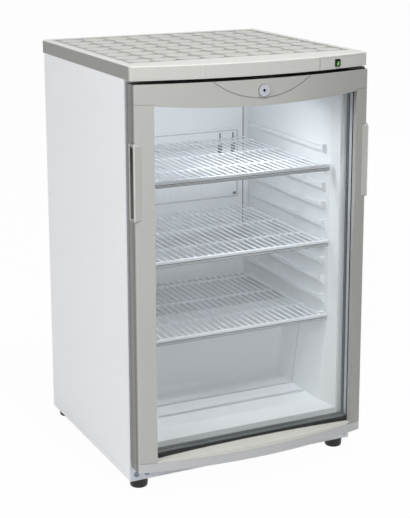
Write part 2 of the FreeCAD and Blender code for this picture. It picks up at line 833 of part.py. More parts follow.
def shelf(rib_top):
    """One shelf, resting on the ribs by the ends of its cross wires."""
    half = shelf_w / 2
    rear_y = shelf_front_y + shelf_depth
    cross_z = rib_top + rest_gap + cross_d / 2
    wire_z = cross_z + cross_d / 2 + wire_d / 2 - weld
    top_z = wire_z + wire_d / 2
    strip_y = shelf_front_y + shelf_strip_t
    strip = box(-half, half, shelf_front_y, strip_y, top_z - shelf_strip_h, top_z)
    foot_z = top_z - shelf_strip_h
    lip = box(-half, half, strip_y, strip_y + shelf_lip, foot_z, foot_z + shelf_strip_t)
    wire_span = interior_w - 2 * (rib_reach + wire_side_clear)
    wire_xs = centred(wire_span, wire_pitch)
    wires = [bar_y(x, wire_z, shelf_front_y + weld, rear_y, wire_d / 2) for x in wire_xs]
    cross_y = shelf_front_y + cross_first
    crosses = []
    while cross_y < rear_y:
        crosses.append(bar_x(cross_y, cross_z, -half, half, cross_d / 2))
        cross_y += cross_pitch
    return joined(strip, [lip] + wires + crosses)


shelf_names = ("shelf_upper", "shelf_middle", "shelf_lower")
for i in range(shelf_count):
    nodes[shelf_names[i]] = shelf(shelf_rib_z - i * shelf_pitch)

# Worktop with its disc pattern, control panel and underside cover

worktop_half = half_w + worktop_clear + worktop_wall
worktop_rear = cabinet_d + worktop_clear + worktop_wall
worktop_block = bowed_block(worktop_half, worktop_rear, worktop_reach, worktop_bow, worktop_bottom, total_h)
corner_edges = [e for e in worktop_block.Edges if e.BoundBox.ZLength > worktop_h / 2]
worktop_block = worktop_block.makeFillet(worktop_corner_r, corner_edges)
top_edges = [e for e in worktop_block.Edges if abs(e.BoundBox.ZMin - total_h) < touch]
worktop_block = worktop_block.makeFillet(worktop_edge_r, top_edges)
hollow_half = half_w + worktop_clear
hollow_rear = cabinet_d + worktop_clear
hollow_reach = worktop_reach - worktop_wall
hollow_bottom = worktop_bottom - beyond
hollow = bowed_block(hollow_half, hollow_rear, hollow_reach, worktop_bow, hollow_bottom, plate_under)
field_half = worktop_half - field_side
field_floor = total_h - field_depth
field_rear_y = worktop_rear - field_rear
field = box(-field_half, field_half, field_front_y, field_rear_y, field_floor, total_h)
disc_mid_y = (field_front_y + field_rear_y) / 2
disc_xs = centred(2 * field_half - disc_d, disc_pitch)
disc_ys = [disc_mid_y + y for y in centred(field_rear_y - field_front_y - disc_d, disc_pitch)]
discs = [post(x, y, field_floor, total_h - disc_drop, disc_d / 2) for x in disc_xs for y in disc_ys]
seam_y = bow_y(worktop_reach, worktop_bow, worktop_half, fascia_seam_x)
seam_right = fascia_seam_x + fascia_seam_w
seam_depth_y = seam_y + fascia_seam_depth
fascia_seam = box(fascia_seam_x, seam_right, seam_y - beyond, seam_depth_y, worktop_bottom, plate_under)
fascia_front = -worktop_reach - worktop_bow - beyond
panel_cut = box(control_left_x, hollow_half, fascia_front, -hollow_reach, hollow_bottom, plate_under)
nodes["worktop"] = worktop_block.cut([hollow, field.cut(discs), fascia_seam, panel_cut])

switch_slope = math.asin(switch_x / ((worktop_half**2 + worktop_bow**2) / (2 * worktop_bow)))
switch_z = (worktop_bottom + plate_under) / 2
switch_y = bow_y(worktop_reach, worktop_bow, worktop_half, switch_x)
switch_turn = FreeCAD.Rotation(V(0, 0, 1), math.degrees(switch_slope))
on_fascia = FreeCAD.Placement(V(switch_x, switch_y, switch_z), switch_turn)


def placed(shape):
    """A shape drawn at the middle of the switch, set square on the bowed fascia."""
    shape.Placement = on_fascia
    return shape


body_half_w = switch_w / 2 - switch_wall
body_half_h = switch_h / 2 - switch_wall
bezel = rounded_box(-switch_w / 2, switch_w / 2, -switch_proud, switch_seat, -switch_h / 2, switch_h / 2,
                    1, switch_corner_r)
switch_body = box(-body_half_w, body_half_w, 0, switch_body_d, -body_half_h, body_half_h)
well_half_w = body_half_w - switch_wall
well_half_h = body_half_h - switch_wall / 2
switch_well = box(-well_half_w, well_half_w, -beyond, switch_body_d - switch_wall, -well_half_h, well_half_h)
pin_hole = bar_x(rocker_pivot, 0, -body_half_w, body_half_w, rocker_pin_r + run_clear)
nodes["switch_housing"] = placed(joined(bezel, [switch_body]).cut([switch_well, pin_hole]))
rocker_half_w = well_half_w - rocker_clear
face_y = -rocker_proud
heel_y = rocker_pivot + rocker_heel / 2
rocker_profile = [(face_y, -rocker_h / 2), (face_y + rocker_dish, 0), (face_y, rocker_h / 2)]
rocker_profile += [(heel_y, rocker_heel / 2), (heel_y, -rocker_heel / 2)]
rocker = prism([V(-rocker_half_w, y, z) for y, z in rocker_profile], V(2 * rocker_half_w, 0, 0))
pin_half = well_half_w + rocker_pin_len
rocker = joined(rocker, [bar_x(rocker_pivot, 0, -pin_half, pin_half, rocker_pin_r)])
rocker.rotate(V(0, rocker_pivot, 0), V(1, 0, 0), rocker_tilt)
rocker.Placement = on_fascia.multiply(rocker.Placement)
nodes["switch_rocker"] = rocker

control_z = (worktop_bottom, plate_under - seam)
control_wall = bowed_block(worktop_half, worktop_rear, worktop_reach, worktop_bow, *control_z)
control_wall = control_wall.cut(hollow)
control_sides = (control_left_x + seam, hollow_half - seam)
control_strip = box(*control_sides, fascia_front, -hollow_reach, worktop_bottom, plate_under)
switch_hole = placed(box(-body_half_w - seam, body_half_w + seam, -beyond, switch_body_d,
                         -body_half_h - seam, body_half_h + seam))
bezel_seat = placed(box(-switch_w / 2 - seam, switch_w / 2 + seam, -beyond, switch_seat,
                        -switch_h / 2 - seam, switch_h / 2 + seam))
nodes["control_panel"] = control_wall.common(control_strip).cut([switch_hole, bezel_seat])

cam_front_y = door_apex + rosette_sink + sleeve_len + cam_gap
cam_rear_y = cam_front_y + cam_t
slot_x0 = -cam_w / 2 - cam_clear
slot_y0 = cam_front_y - cam_clear
slot_y1 = cam_rear_y + cam_clear
keeper_slot = box(slot_x0, cam_len, slot_y0, slot_y1, worktop_bottom - beyond, worktop_bottom + beyond)
cover_block = bowed_block(hollow_half - seam, -cover_setback, hollow_reach - seam, worktop_bow,
                          worktop_bottom, worktop_bottom + cover_t)
nodes["fascia_cover"] = cover_block.cut(keeper_slot)
keeper_z = worktop_bottom + cover_t
keeper_plate = box(slot_x0 - keeper_border, cam_len + keeper_border, slot_y0 - keeper_border,
                   slot_y1 + keeper_border, keeper_z, keeper_z + keeper_t)
nodes["lock_keeper"] = keeper_plate.cut(keeper_slot)

# Door frame: two rails and two stiles cut from one bowed section


def door_section(z0, z1):
    """A length of the bowed door section with rounded front edges."""
    block = bowed_block(half_w, -door_gap, door_reach, door_bow, z0, z1)
    upright = [e for e in block.Edges if e.BoundBox.ZLength > (z1 - z0) / 2]
    front = [e for e in upright if e.CenterOfMass.y < -door_reach + touch]
    return block.makeFillet(door_edge_r, front)


rebate = box(glass_left - rebate_clear, glass_right + rebate_clear, glass_y, beyond,
             glass_bottom - rebate_clear, glass_top + rebate_clear)
in_front = door_apex - beyond
opening_x = (opening_left + seam, opening_right - seam)

top_rail = door_section(top_seam_z, door_top)
top_lip = door_section(arch_mid_z - beyond, top_seam_z)
top_lip = top_lip.common(arch_block(*opening_x, arch_end_z, arch_mid_z, top_seam_z, in_front, glass_y))
top_rail = joined(top_rail, [top_lip]).cut(rebate)
pocket_top = door_top - pocket_roof
sleeve_front_y = door_apex + rosette_sink
sleeve_rear_y = sleeve_front_y + sleeve_len
pocket_front_y = sleeve_rear_y - cam_gap
pocket_rear_y = pocket_front_y + pocket_d
pocket_sides = (-pocket_half_w, pocket_half_w, pocket_front_y, pocket_rear_y)
lock_pocket = box(*pocket_sides, pocket_bottom_z, pocket_top)
cam_slot = box(slot_x0, cam_len, slot_y0, slot_y1, lock_z, door_top + beyond)
sleeve_hole = bar_y(0, lock_z, in_front, pocket_rear_y, sleeve_r + hole_clear)
rosette_seat = bar_y(0, lock_z, in_front, sleeve_front_y, rosette_d / 2 + hole_clear)
bush_r = pin_r + run_clear + bush_wall
upper_bush_z = door_top - pin_len - bush_gap
lower_bush_z = door_bottom + lower_pin_len + bush_gap
upper_bush_hole = post(hinge_x, hinge_y, upper_bush_z, door_top, bush_r)
smile_rise = door_top - smile_mid_z
smile_r = (smile_half_w**2 + smile_rise**2) / (2 * smile_rise)
smile_centre_z = smile_mid_z + smile_r
smile_ring = bar_y(0, smile_centre_z, in_front, 0, smile_r + smile_groove_w / 2)
smile_ring = smile_ring.cut(bar_y(0, smile_centre_z, in_front, 0, smile_r - smile_groove_w / 2))
smile_skin = bowed_block(half_w, 0, door_reach, door_bow, arch_mid_z, door_top)
smile_core = bowed_block(half_w, 0, door_reach - smile_groove_depth, door_bow, arch_mid_z, door_top)
smile_groove = smile_ring.common(smile_skin.cut(smile_core))
top_cuts = [lock_pocket, cam_slot, sleeve_hole, rosette_seat, upper_bush_hole, smile_groove]
nodes["door_top_rail"] = top_rail.cut(top_cuts)

bottom_rail = door_section(door_bottom, bottom_seam_z)
sill = door_section(bottom_seam_z, sill_mid_z + beyond)
sill = sill.common(arch_block(*opening_x, sill_end_z, sill_mid_z, bottom_seam_z, in_front, glass_y))
lower_bush_hole = post(hinge_x, hinge_y, door_bottom, lower_bush_z, bush_r)
nodes["door_bottom_rail"] = joined(bottom_rail, [sill]).cut([rebate, lower_bush_hole])

grip_z0 = grip_z - grip_h / 2
grip_z1 = grip_z + grip_h / 2
grip_x0 = half_w - grip_depth - grip_wall
grip_y0 = -door_reach - grip_lead
grip_y1 = grip_y0 + grip_w
grip_block = rounded_box(grip_x0, half_w + grip_proud, grip_y0, grip_y1, grip_z0, grip_z1, 0, grip_r)
finger_well = rounded_box(
    half_w - grip_depth,
    half_w + beyond,
    grip_y0 + grip_lip,
    grip_y1 - grip_wall,
    grip_z0 + grip_lip,
    grip_z1 - grip_lip,
    0,
    grip_r,
)
right_grip = grip_block.cut(finger_well)
nodes["right_grip"] = right_grip
nodes["left_grip"] = mirrored(right_grip)
grip_pocket = rounded_box(
    grip_x0 - grip_clear,
    half_w + beyond,
    grip_y0 - grip_clear,
    grip_y1 + grip_clear,
    grip_z0 - grip_clear,
    grip_z1 + grip_clear,
    0,
    grip_r + grip_clear,
)
stile = door_section(bottom_seam_z + seam, top_seam_z - seam)
left_part = box(-half_w, opening_left, in_front, beyond, 0, total_h)
right_part = box(opening_right, half_w, in_front, beyond, 0, total_h)
nodes["door_left_stile"] = stile.common(left_part).cut([rebate, mirrored(grip_pocket)])
nodes["door_right_stile"] = stile.common(right_part).cut([rebate, grip_pocket])

# Glazing, inner frame and magnetic gasket

pane_sides = (glass_left, glass_right)
nodes["outer_glass"] = box(*pane_sides, glass_y, glass_y + pane_t, glass_bottom, glass_top)
nodes["inner_glass"] = box(*pane_sides, glass_back_y - pane_t, glass_back_y, glass_bottom, glass_top)
space_y = (glass_y + pane_t, glass_back_y - pane_t)
spacer_widths = (glass_bite, glass_bite, spacer_bottom_h, glass_bite)
nodes["glass_spacer"] = frame(*pane_sides, *space_y, glass_bottom, glass_top, *spacer_widths)
inner_widths = [width - inner_frame_lap for width in spacer_widths]
inner_y = (glass_back_y, -door_gap)
nodes["door_inner_frame"] = frame(*pane_sides, *inner_y, glass_bottom, glass_top, *inner_widths)
gasket_half = half_w - gasket_inset
gasket_top = door_top - gasket_top_inset
gasket_bottom = door_bottom + gasket_bottom_inset
gasket_widths = [gasket_w] * 4
gasket_box = (-gasket_half, gasket_half, -door_gap, -gasket_kiss, gasket_bottom, gasket_top)
nodes["door_gasket"] = frame(*gasket_box, *gasket_widths)

# Lock: flanged sleeve, turning barrel with its keyway, and the cam

rosette = bar_y(0, lock_z, rosette_front_y, sleeve_front_y, rosette_d / 2)
rosette_rim = [e for e in rosette.Edges if abs(e.CenterOfMass.y - rosette_front_y) < touch]
rosette = rosette.makeFillet(rosette_edge_r, rosette_rim[:1])
sleeve = bar_y(0, lock_z, sleeve_front_y, sleeve_rear_y, sleeve_r)
barrel_bore = bar_y(0, lock_z, in_front, 0, barrel_r + run_clear)
nodes["lock_housing"] = joined(rosette, [sleeve]).cut(barrel_bore)
barrel_front_y = rosette_front_y + barrel_sink
barrel = bar_y(0, lock_z, barrel_front_y, cam_front_y, barrel_r)
keyway = box(-keyway_w / 2, keyway_w / 2, barrel_front_y, barrel_front_y + keyway_depth,
             lock_z - keyway_h / 2, lock_z + keyway_h / 2)
nodes["lock_barrel"] = barrel.cut(keyway)
cam_box = (-cam_w / 2, cam_len, cam_front_y, cam_rear_y, lock_z - cam_w / 2, lock_z + cam_w / 2)
nodes["lock_cam"] = rounded_box(*cam_box, 1, cam_corner_r)

# Hinges: angle brackets with riveted pins, and the bushes in the door

leg_x1 = half_w - hinge_side_gap
leg_x0 = leg_x1 - hinge_w
plate_front_y = hinge_y - hinge_reach


def hinge_bracket(plate_z, leg_z0, leg_z1, pin_z0, pin_z1):
    """An angle bracket: a plate under or over the door, a leg on the cabinet and the pin."""
    plate = box(leg_x0, leg_x1, plate_front_y, 0, plate_z, plate_z + hinge_plate_t)
    front_edges = [e for e in plate.Edges if abs(e.CenterOfMass.y - plate_front_y) < touch]
    corners = [e for e in front_edges if abs(e.tangentAt(e.FirstParameter).z) > 0.9]
    plate = plate.makeFillet(hinge_reach / 2, corners)
    leg = box(leg_x0, leg_x1, leg_front_y, 0, leg_z0, leg_z1)
    return joined(plate, [leg, post(hinge_x, hinge_y, pin_z0, pin_z1, pin_r)]).cut(screw_holes)


upper_leg = (upper_plate_top, upper_plate_top + upper_leg_h)
lower_leg = (lower_plate_z - lower_leg_h, lower_plate_z)
upper_pin = (door_top - pin_len, upper_plate_z)
lower_pin = (lower_plate_top, door_bottom + lower_pin_len)
nodes["upper_hinge"] = hinge_bracket(upper_plate_z, *upper_leg, *upper_pin)
nodes["lower_hinge"] = hinge_bracket(lower_plate_z, *lower_leg, *lower_pin)
upper_flange = post(hinge_x, hinge_y, door_top, door_top + bush_flange_t, bush_flange_r)
lower_flange = post(hinge_x, hinge_y, door_bottom - lower_flange_t, door_bottom, bush_flange_r)
upper_bush = joined(upper_bush_hole, [upper_flange])
lower_bush = joined(lower_bush_hole, [lower_flange])
upper_pin_hole = post(hinge_x, hinge_y, upper_pin[0] - bush_gap, door_top + beyond, pin_r + run_clear)
lower_pin_hole = post(hinge_x, hinge_y, door_bottom - beyond, lower_pin[1] + bush_gap, pin_r + run_clear)
nodes["upper_hinge_bush"] = upper_bush.cut(upper_pin_hole)
nodes["lower_hinge_bush"] = lower_bush.cut(lower_pin_hole)

# Compressor and refrigerant circuit

shell_can = post(comp_x, comp_y, comp_bottom, comp_top, comp_r)
shell_rims = [e for e in shell_can.Edges if e.BoundBox.ZLength < touch]
shell_can = shell_can.makeFillet(comp_edge_r, shell_rims)
mount_plate = rounded_box(comp_x - comp_plate_w / 2, comp_x + comp_plate_w / 2, comp_y - comp_plate_d / 2,
                          comp_y + comp_plate_d / 2, comp_plate_z, comp_bottom, 2, grommet_inset / 2)
stub_x = comp_x + stub_offset
nodes["compressor"] = joined(shell_can, [mount_plate])
grommet_dx = comp_plate_w / 2 - grommet_inset
grommet_dy = comp_plate_d / 2 - grommet_inset
grommet_spots = [(comp_x + s * grommet_dx, comp_y + t * grommet_dy) for s in (-1, 1) for t in (-1, 1)]
grommets = [post(x, y, base_top, comp_plate_z, grommet_r) for x, y in grommet_spots]
nodes["compressor_grommets"] = Part.Compound(grommets)
terminal_z = comp_bottom + comp_h / 2 - terminal_h / 2
terminal_x = comp_x + comp_r - terminal_w / 2
terminal_sides = (terminal_x, terminal_x + terminal_w, comp_y - terminal_d / 2, comp_y + terminal_d / 2)
terminal_block = rounded_box(*terminal_sides, terminal_z, terminal_z + terminal_h, 2, terminal_r)
terminal_seat = post(comp_x, comp_y, comp_plate_z, comp_top, comp_r + terminal_gap)
nodes["terminal_cover"] = terminal_block.cut(terminal_seat)

tray_x1 = stub_x - tray_pipe_gap
tray_y1 = drain_y + tray_rear
tray_block = box(tray_x1 - tray_w, tray_x1, tray_y1 - tray_d, tray_y1, tray_z, tray_z + tray_h)
tray_well = box(tray_x1 - tray_w + tray_t, tray_x1 - tray_t, tray_y1 - tray_d + tray_t, tray_y1 - tray_t,
                tray_z + tray_t, tray_z + tray_h)
nodes["evaporation_tray"] = tray_block.cut(tray_well)

cond_runs = int((cond_top - cond_bottom) // cond_pitch) + 1
cond_start = V(stub_x, cond_tube_y, cond_bottom - cond_leg)
cond_path = [cond_start, V(stub_x, cond_tube_y, cond_bottom)]
for i in range(cond_runs):
    run_z = cond_bottom + i * cond_pitch
    near, far = (-cond_half, cond_half) if i % 2 == 0 else (cond_half, -cond_half)
    if i > 0:
        cond_path.append(V(near, cond_tube_y, run_z))
    cond_path.append(V(far, cond_tube_y, run_z))
cond_last_z = cond_bottom + (cond_runs - 1) * cond_pitch
return_x = cond_path[-1].x + math.copysign(cond_pitch / 2, cond_path[-1].x)
cond_path[-1] = V(return_x, cond_tube_y, cond_last_z)
cond_path.append(V(return_x, cond_tube_y, cond_bottom - cond_leg))
cond_bend = cond_pitch / 2 - weld
nodes["condenser_tube"] = rod(cond_path, cond_tube_r, cond_bend - pipe_r)
wire_low = cond_bottom - cond_leg / 2
wire_high = cond_last_z + cond_leg / 2
cond_wire_span = 2 * (cond_half - cond_pitch)
cond_wires = []
for wire_x in centred(cond_wire_span, cond_wire_pitch):
    for wire_y in (cond_inner_y, cond_outer_y):
        cond_wires.append(post(wire_x, wire_y, wire_low, wire_high, cond_wire_r))
nodes["condenser_wires"] = Part.Compound(cond_wires)
bracket_y = (back_y + sheet_t, cond_inner_y - cond_wire_r - cond_wire_touch)
bracket_x = cond_half - cond_pitch - bracket_w
bracket_zs = (wire_low + cond_pitch, wire_high - cond_pitch)
brackets = []
for x0 in (-bracket_x - bracket_w, bracket_x):
    for z in bracket_zs:
        bracket_z = (z - bracket_h / 2, z + bracket_h / 2)
        brackets.append(rounded_box(x0, x0 + bracket_w, *bracket_y, *bracket_z, 1, bracket_r))
nodes["condenser_brackets"] = Part.Compound(brackets)

drier_top = cond_bottom - cond_leg
drier_can = post(return_x, cond_tube_y, drier_top - drier_len, drier_top, drier_r)
drier_rims = [e for e in drier_can.Edges if e.BoundBox.ZLength < touch]
nodes["filter_drier"] = drier_can.makeFillet(drier_r / 2, drier_rims)
discharge_route = [V(stub_x, comp_y, comp_top), V(stub_x, comp_y, pipe_z)]
discharge_route += [V(stub_x, cond_tube_y, pipe_z), cond_start]
discharge = rod(discharge_route, pipe_r, pipe_bend_r)
evap_rear_y = evap_y + evap_tube_r
outlet = channel[0]
inlet = channel[-1]
suction_y = comp_y - stub_spread
suction_route = [
    V(stub_x, suction_y, comp_top),
    V(stub_x, suction_y, pipe_z),
    V(outlet.x, suction_y, pipe_z),
    V(outlet.x, drain_y, pipe_z),
    V(outlet.x, drain_y, outlet.z),
    V(outlet.x, evap_rear_y, outlet.z),
]
drier_foot = drier_top - drier_len
capillary_z = drier_foot - capillary_drop
capillary_route = [
    V(return_x, cond_tube_y, drier_foot),
    V(return_x, cond_tube_y, capillary_z),
    V(return_x, drain_y, capillary_z),
    V(return_x, drain_y, inlet.z),
    V(inlet.x, drain_y, inlet.z),
    V(inlet.x, evap_rear_y, inlet.z),
]
suction = rod(suction_route, suction_r, pipe_bend_r)
capillary = rod(capillary_route, capillary_r, capillary_bend_r)
nodes["refrigerant_pipes"] = Part.Compound([discharge, suction, capillary])
suction_hole = rod(suction_route, suction_r + hole_clear, pipe_bend_r)
capillary_hole = rod(capillary_route, capillary_r + hole_clear, capillary_bend_r)
for lined in ("bay_panel", "insulation", "inner_liner"):
    nodes[lined] = nodes[lined].cut([suction_hole, capillary_hole])

for name, shape in nodes.items():
    shape.translate(V(0, -origin_y, 0))
    shape.exportStep("parts/" + name + ".step")
    box_size = shape.BoundBox
    print("%-22s solids %3d valid %s %7.1f %7.1f %7.1f" % (
        name, len(shape.Solids), shape.isValid(), box_size.XLength, box_size.YLength, box_size.ZLength))
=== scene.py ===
import json
import math

import bmesh
import bpy
import numpy as np
from mathutils import Matrix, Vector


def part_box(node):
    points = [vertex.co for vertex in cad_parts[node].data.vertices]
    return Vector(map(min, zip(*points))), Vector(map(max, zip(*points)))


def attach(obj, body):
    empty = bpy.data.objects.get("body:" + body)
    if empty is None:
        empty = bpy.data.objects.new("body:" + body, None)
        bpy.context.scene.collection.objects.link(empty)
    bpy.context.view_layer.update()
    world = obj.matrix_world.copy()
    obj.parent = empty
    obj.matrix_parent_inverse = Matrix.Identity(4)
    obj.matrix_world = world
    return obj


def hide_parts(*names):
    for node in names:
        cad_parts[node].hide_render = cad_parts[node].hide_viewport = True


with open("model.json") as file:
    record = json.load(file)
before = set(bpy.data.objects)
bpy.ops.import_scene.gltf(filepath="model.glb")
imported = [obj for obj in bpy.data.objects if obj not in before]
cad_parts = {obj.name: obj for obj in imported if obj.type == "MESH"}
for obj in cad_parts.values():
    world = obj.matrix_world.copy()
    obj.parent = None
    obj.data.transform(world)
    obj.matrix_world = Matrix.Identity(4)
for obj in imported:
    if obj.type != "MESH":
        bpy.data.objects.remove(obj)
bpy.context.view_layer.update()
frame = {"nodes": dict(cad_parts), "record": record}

# Glass door display fridge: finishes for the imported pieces, the small moulded and pressed details that
# ride on them, and a plain pale studio.

nodes = frame["nodes"]
slot_of = {row["node"]: row["material_slot"] for row in frame["record"]["subparts"]}

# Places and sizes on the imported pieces, in mm: across, behind the cabinet's front plane, above the floor

MM = 0.001  # a millimetre in metres
FRONT_PLANE = -198.275  # the cabinet's front plane in the part's own frame
PART_MIDDLE = -FRONT_PLANE  # the middle of the part's depth
WORKTOP_HALF, WORKTOP_APEX, WORKTOP_BOW, WORKTOP_TOP = 256.5, -70.0, 37.0, 855.0
FIELD_HALF, FIELD_FRONT, FIELD_FLOOR, DISC_TOP = 239.5, 8.0, 853.2, 854.5
FASCIA_SEAM, CONTROL_SEAM = -121.0, 131.3
DOOR_HALF, DOOR_APEX, DOOR_BOW, DOOR_TOP = 253.5, -76.0, 33.0, 821.5
STILE_INNER, LOW_JOINT, HIGH_JOINT, LOW_RAIL_TOP = 217.0, 74.0, 784.0, 86.0
GROOVE_CENTRE, GROOVE_RADIUS, LOCK_Z = 956.09, 170.09, 800.0
GRIP_OUT, GRIP_FRONT, WELL_FRONT, WELL_BACK = 256.0, -46.0, -40.0, -23.0
SPACER_MIDDLE, SPACER_FLOOR = -28.0, 90.0
GASKET_HALF, GASKET_LOW, GASKET_HIGH, GASKET_BACK, GASKET_FREE = 230.0, 75.0, 797.0, -7.5, -0.3
SHELF_TOPS, SHELF_STEP, TRIM_HALF, TRIM_BACK, TRIM_TALL = (301.5, 461.5, 621.5), 160.0, 203.0, 18.4, 13.6
RIDGE_HALF, RIDGE_LOW, RIDGE_HIGH, STRIP_INNER, STRIP_OUTER = 180.0, 479.0, 639.0, 191.6, 206.6
LINER_LINE, STEP_FRONT, STEP_LOW, STEP_HIGH = 131.0, 204.0, 278.0, 284.0
LAMP_MIDDLE, LAMP_UNDER, KNOB_X = 73.0, 768.0, 126.0
SHELL_X, SHELL_Y, SHELL_RADIUS, SHELL_SEAM_DROP = 40.0, 352.0, 75.0, 75.0


def placed(points):
    """Points in mm, measured from the cabinet's front plane, as metres in the part's frame."""
    return (np.asarray(points, float) + (0.0, FRONT_PLANE, 0.0)) * MM


# Shapes of the added pieces

WELD_WITHIN = 2e-6  # points nearer than this, in metres, become one


def grid_quads(rows, cols, ring_rows=False, ring_cols=True):
    """Four-sided faces between neighbours of a rows by cols grid, wrapping round where a way is a ring."""
    row = np.arange(rows if ring_rows else rows - 1)
    col = np.arange(cols if ring_cols else cols - 1)
    i, j = np.meshgrid(row, col, indexing="ij")
    i2, j2 = (i + 1) % rows, (j + 1) % cols
    return np.stack([i * cols + j, i * cols + j2, i2 * cols + j2, i2 * cols + j], -1).reshape(-1, 4)


def many(points):
    """The faces of several equal grids whose points follow each other in one array."""
    count, rows, cols = points.shape[:3]
    first = np.arange(count) * rows * cols
    return (grid_quads(rows, cols)[None] + first[:, None, None]).reshape(-1, 4)


def piece(name, points, quads, body, finish, stands_for=(), smooth=True):
    """A closed piece from its points in mm and its faces: poles are welded and the faces turned outwards."""
    mesh = bpy.data.meshes.new(name)
    mesh.from_pydata(placed(points).reshape(-1, 3).tolist(), [], quads.tolist())
    work = bmesh.new()
    work.from_mesh(mesh)
    bmesh.ops.remove_doubles(work, verts=work.verts, dist=WELD_WITHIN)
    bmesh.ops.recalc_face_normals(work, faces=work.faces)
    work.to_mesh(mesh)
    work.free()
    mesh.polygons.foreach_set("use_smooth", np.full(len(mesh.polygons), smooth))
    mesh.materials.append(finish)
    made = bpy.data.objects.new(name, mesh)
    bpy.context.scene.collection.objects.link(made)
    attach(made, body)
    if stands_for:
        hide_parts(*stands_for)


def pill(half_u, half_v, proud, sunk, power=4.0, rows=17, cols=48):
    """A cushion-shaped button as a function of s, from the middle of its face over the rim to the middle of
    its back, and of an angle round it. Its outline is a superellipse |u|^p + |v|^p = 1, its face rises
    by the root of one minus the distance squared, and its back is flat, sunk in what carries it."""
    s = np.linspace(0.0, 2.0, rows)[:, None]
    angle = np.linspace(0.0, 2 * np.pi, cols, endpoint=False)[None]
    out = np.where(s < 1, np.sin(s * np.pi / 2), 2 - s)
    cos, sin = np.cos(angle), np.sin(angle)
    round_off = (np.abs(cos) ** power + np.abs(sin) ** power) ** (-1 / power)
    rise = np.where(s < 1, proud * np.cos(s * np.pi / 2), -sunk * np.minimum(1, (s - 1) * 8))
    return np.stack([half_u * out * cos * round_off, half_v * out * sin * round_off, rise + 0 * angle], -1)


def pan_head(radius, height, shank, length, rows=15, cols=48):
    """A pan head screw as a function of s, from the middle of the head to the tip, and of an angle round it.
    The head is a flattened dome, height times the fourth root of one minus the distance to the fourth. A
    cross recess is taken from it: two crossed bars with sloping walls."""
    angle = np.linspace(0.0, 2 * np.pi, cols, endpoint=False)[None]
    out = np.concatenate([np.linspace(0, 1, rows) ** 0.8 * 0.995, [1.0, 1.0]])[:, None]
    dome = height * np.maximum(1 - out**4, 0) ** 0.25
    dome[-2:] = [[0.25 * height], [0.0]]
    u, v = radius * out * np.cos(angle), radius * out * np.sin(angle)
    arm, reach, deep = 0.17 * radius, 0.62 * radius, 0.62 * height
    bar_u = np.clip((arm - np.abs(v)) / (0.5 * arm), 0, 1) * np.clip((reach - np.abs(u)) / arm, 0, 1)
    bar_v = np.clip((arm - np.abs(u)) / (0.5 * arm), 0, 1) * np.clip((reach - np.abs(v)) / arm, 0, 1)
    head = np.stack([u, v, dome - deep * np.maximum(bar_u, bar_v)], -1)
    tip = np.array([[shank, 0.0], [shank, -length], [0.0, -length]])[:, None]
    ends = np.stack([tip[..., 0] * np.cos(angle), tip[..., 0] * np.sin(angle), tip[..., 1] + 0 * angle], -1)
    return np.concatenate([head, ends])


def facing_front(local, spots):
    """Local (u, v, w) points set at each (x, y, z) spot, with w pointing out of the front."""
    upright = np.stack([local[..., 0], -local[..., 2], local[..., 1]], -1)
    return np.asarray(spots, float)[:, None, None] + upright[None]


def turned(a, b, angle):
    """A point (a, b) of a plane turned by an angle about its origin."""
    return a * np.cos(angle) - b * np.sin(angle), a * np.sin(angle) + b * np.cos(angle)


def bellows(width, depth, rows=41):
    """The gasket's section round its outline: a flat foot, a waist that folds in, and a magnet pocket.
    Half the width at a share t of the depth is a half, less two round notches of a bell curve's form, and
    less a parabola near each end."""
    t = np.linspace(0.0, 1.0, rows)
    waist = 2.6 * np.exp(-(((t - 0.34) / 0.10) ** 2))
    fold = 1.1 * np.exp(-(((t - 0.62) / 0.05) ** 2))
    pocket_end = 1.4 * np.maximum(0, (t - 0.9) / 0.1) ** 2
    foot_end = 0.7 * np.maximum(0, (0.08 - t) / 0.08) ** 2
    half = width / 2 - waist - fold - (pocket_end + foot_end)
    across = np.concatenate([half, -half[::-1]])
    along = np.concatenate([t, t[::-1]]) * depth
    return across, along


def round_frame(across, y, half, bottom, top):
    """A section carried round a rectangle with mitred corners: at each corner the distance across the
    section is laid off along both sides at once."""
    way_x = np.array([-1, 1, 1, -1])[:, None]
    way_z = np.array([-1, -1, 1, 1])[:, None]
    x = way_x * half + way_x * across[None]
    z = np.where(way_z < 0, bottom, top) + way_z * across[None]
    return np.stack([x, np.broadcast_to(y, x.shape), z], -1)


def weld_bead(x, y, z, radius, proud, tall, gap_from, gap_to, turns=160, around=14):
    """A bead carried round an upright can. Its section is an ellipse, and it sinks into the can, by a smooth
    step of the angle from +X, where the terminal cover sits."""
    angle = np.linspace(-np.pi, np.pi, turns, endpoint=False)[:, None]
    share = np.clip((np.abs(angle) - gap_from) / (gap_to - gap_from), 0, 1)
    share = share * share * (3 - 2 * share)
    section = np.linspace(0.0, 2 * np.pi, around, endpoint=False)[None]
    r = radius - 2 * proud + share * 2 * proud + proud * np.cos(section)
    rise = z + tall / 2 * np.sin(section) + 0 * angle
    return np.stack([x + r * np.cos(angle), y + r * np.sin(angle), rise], -1)


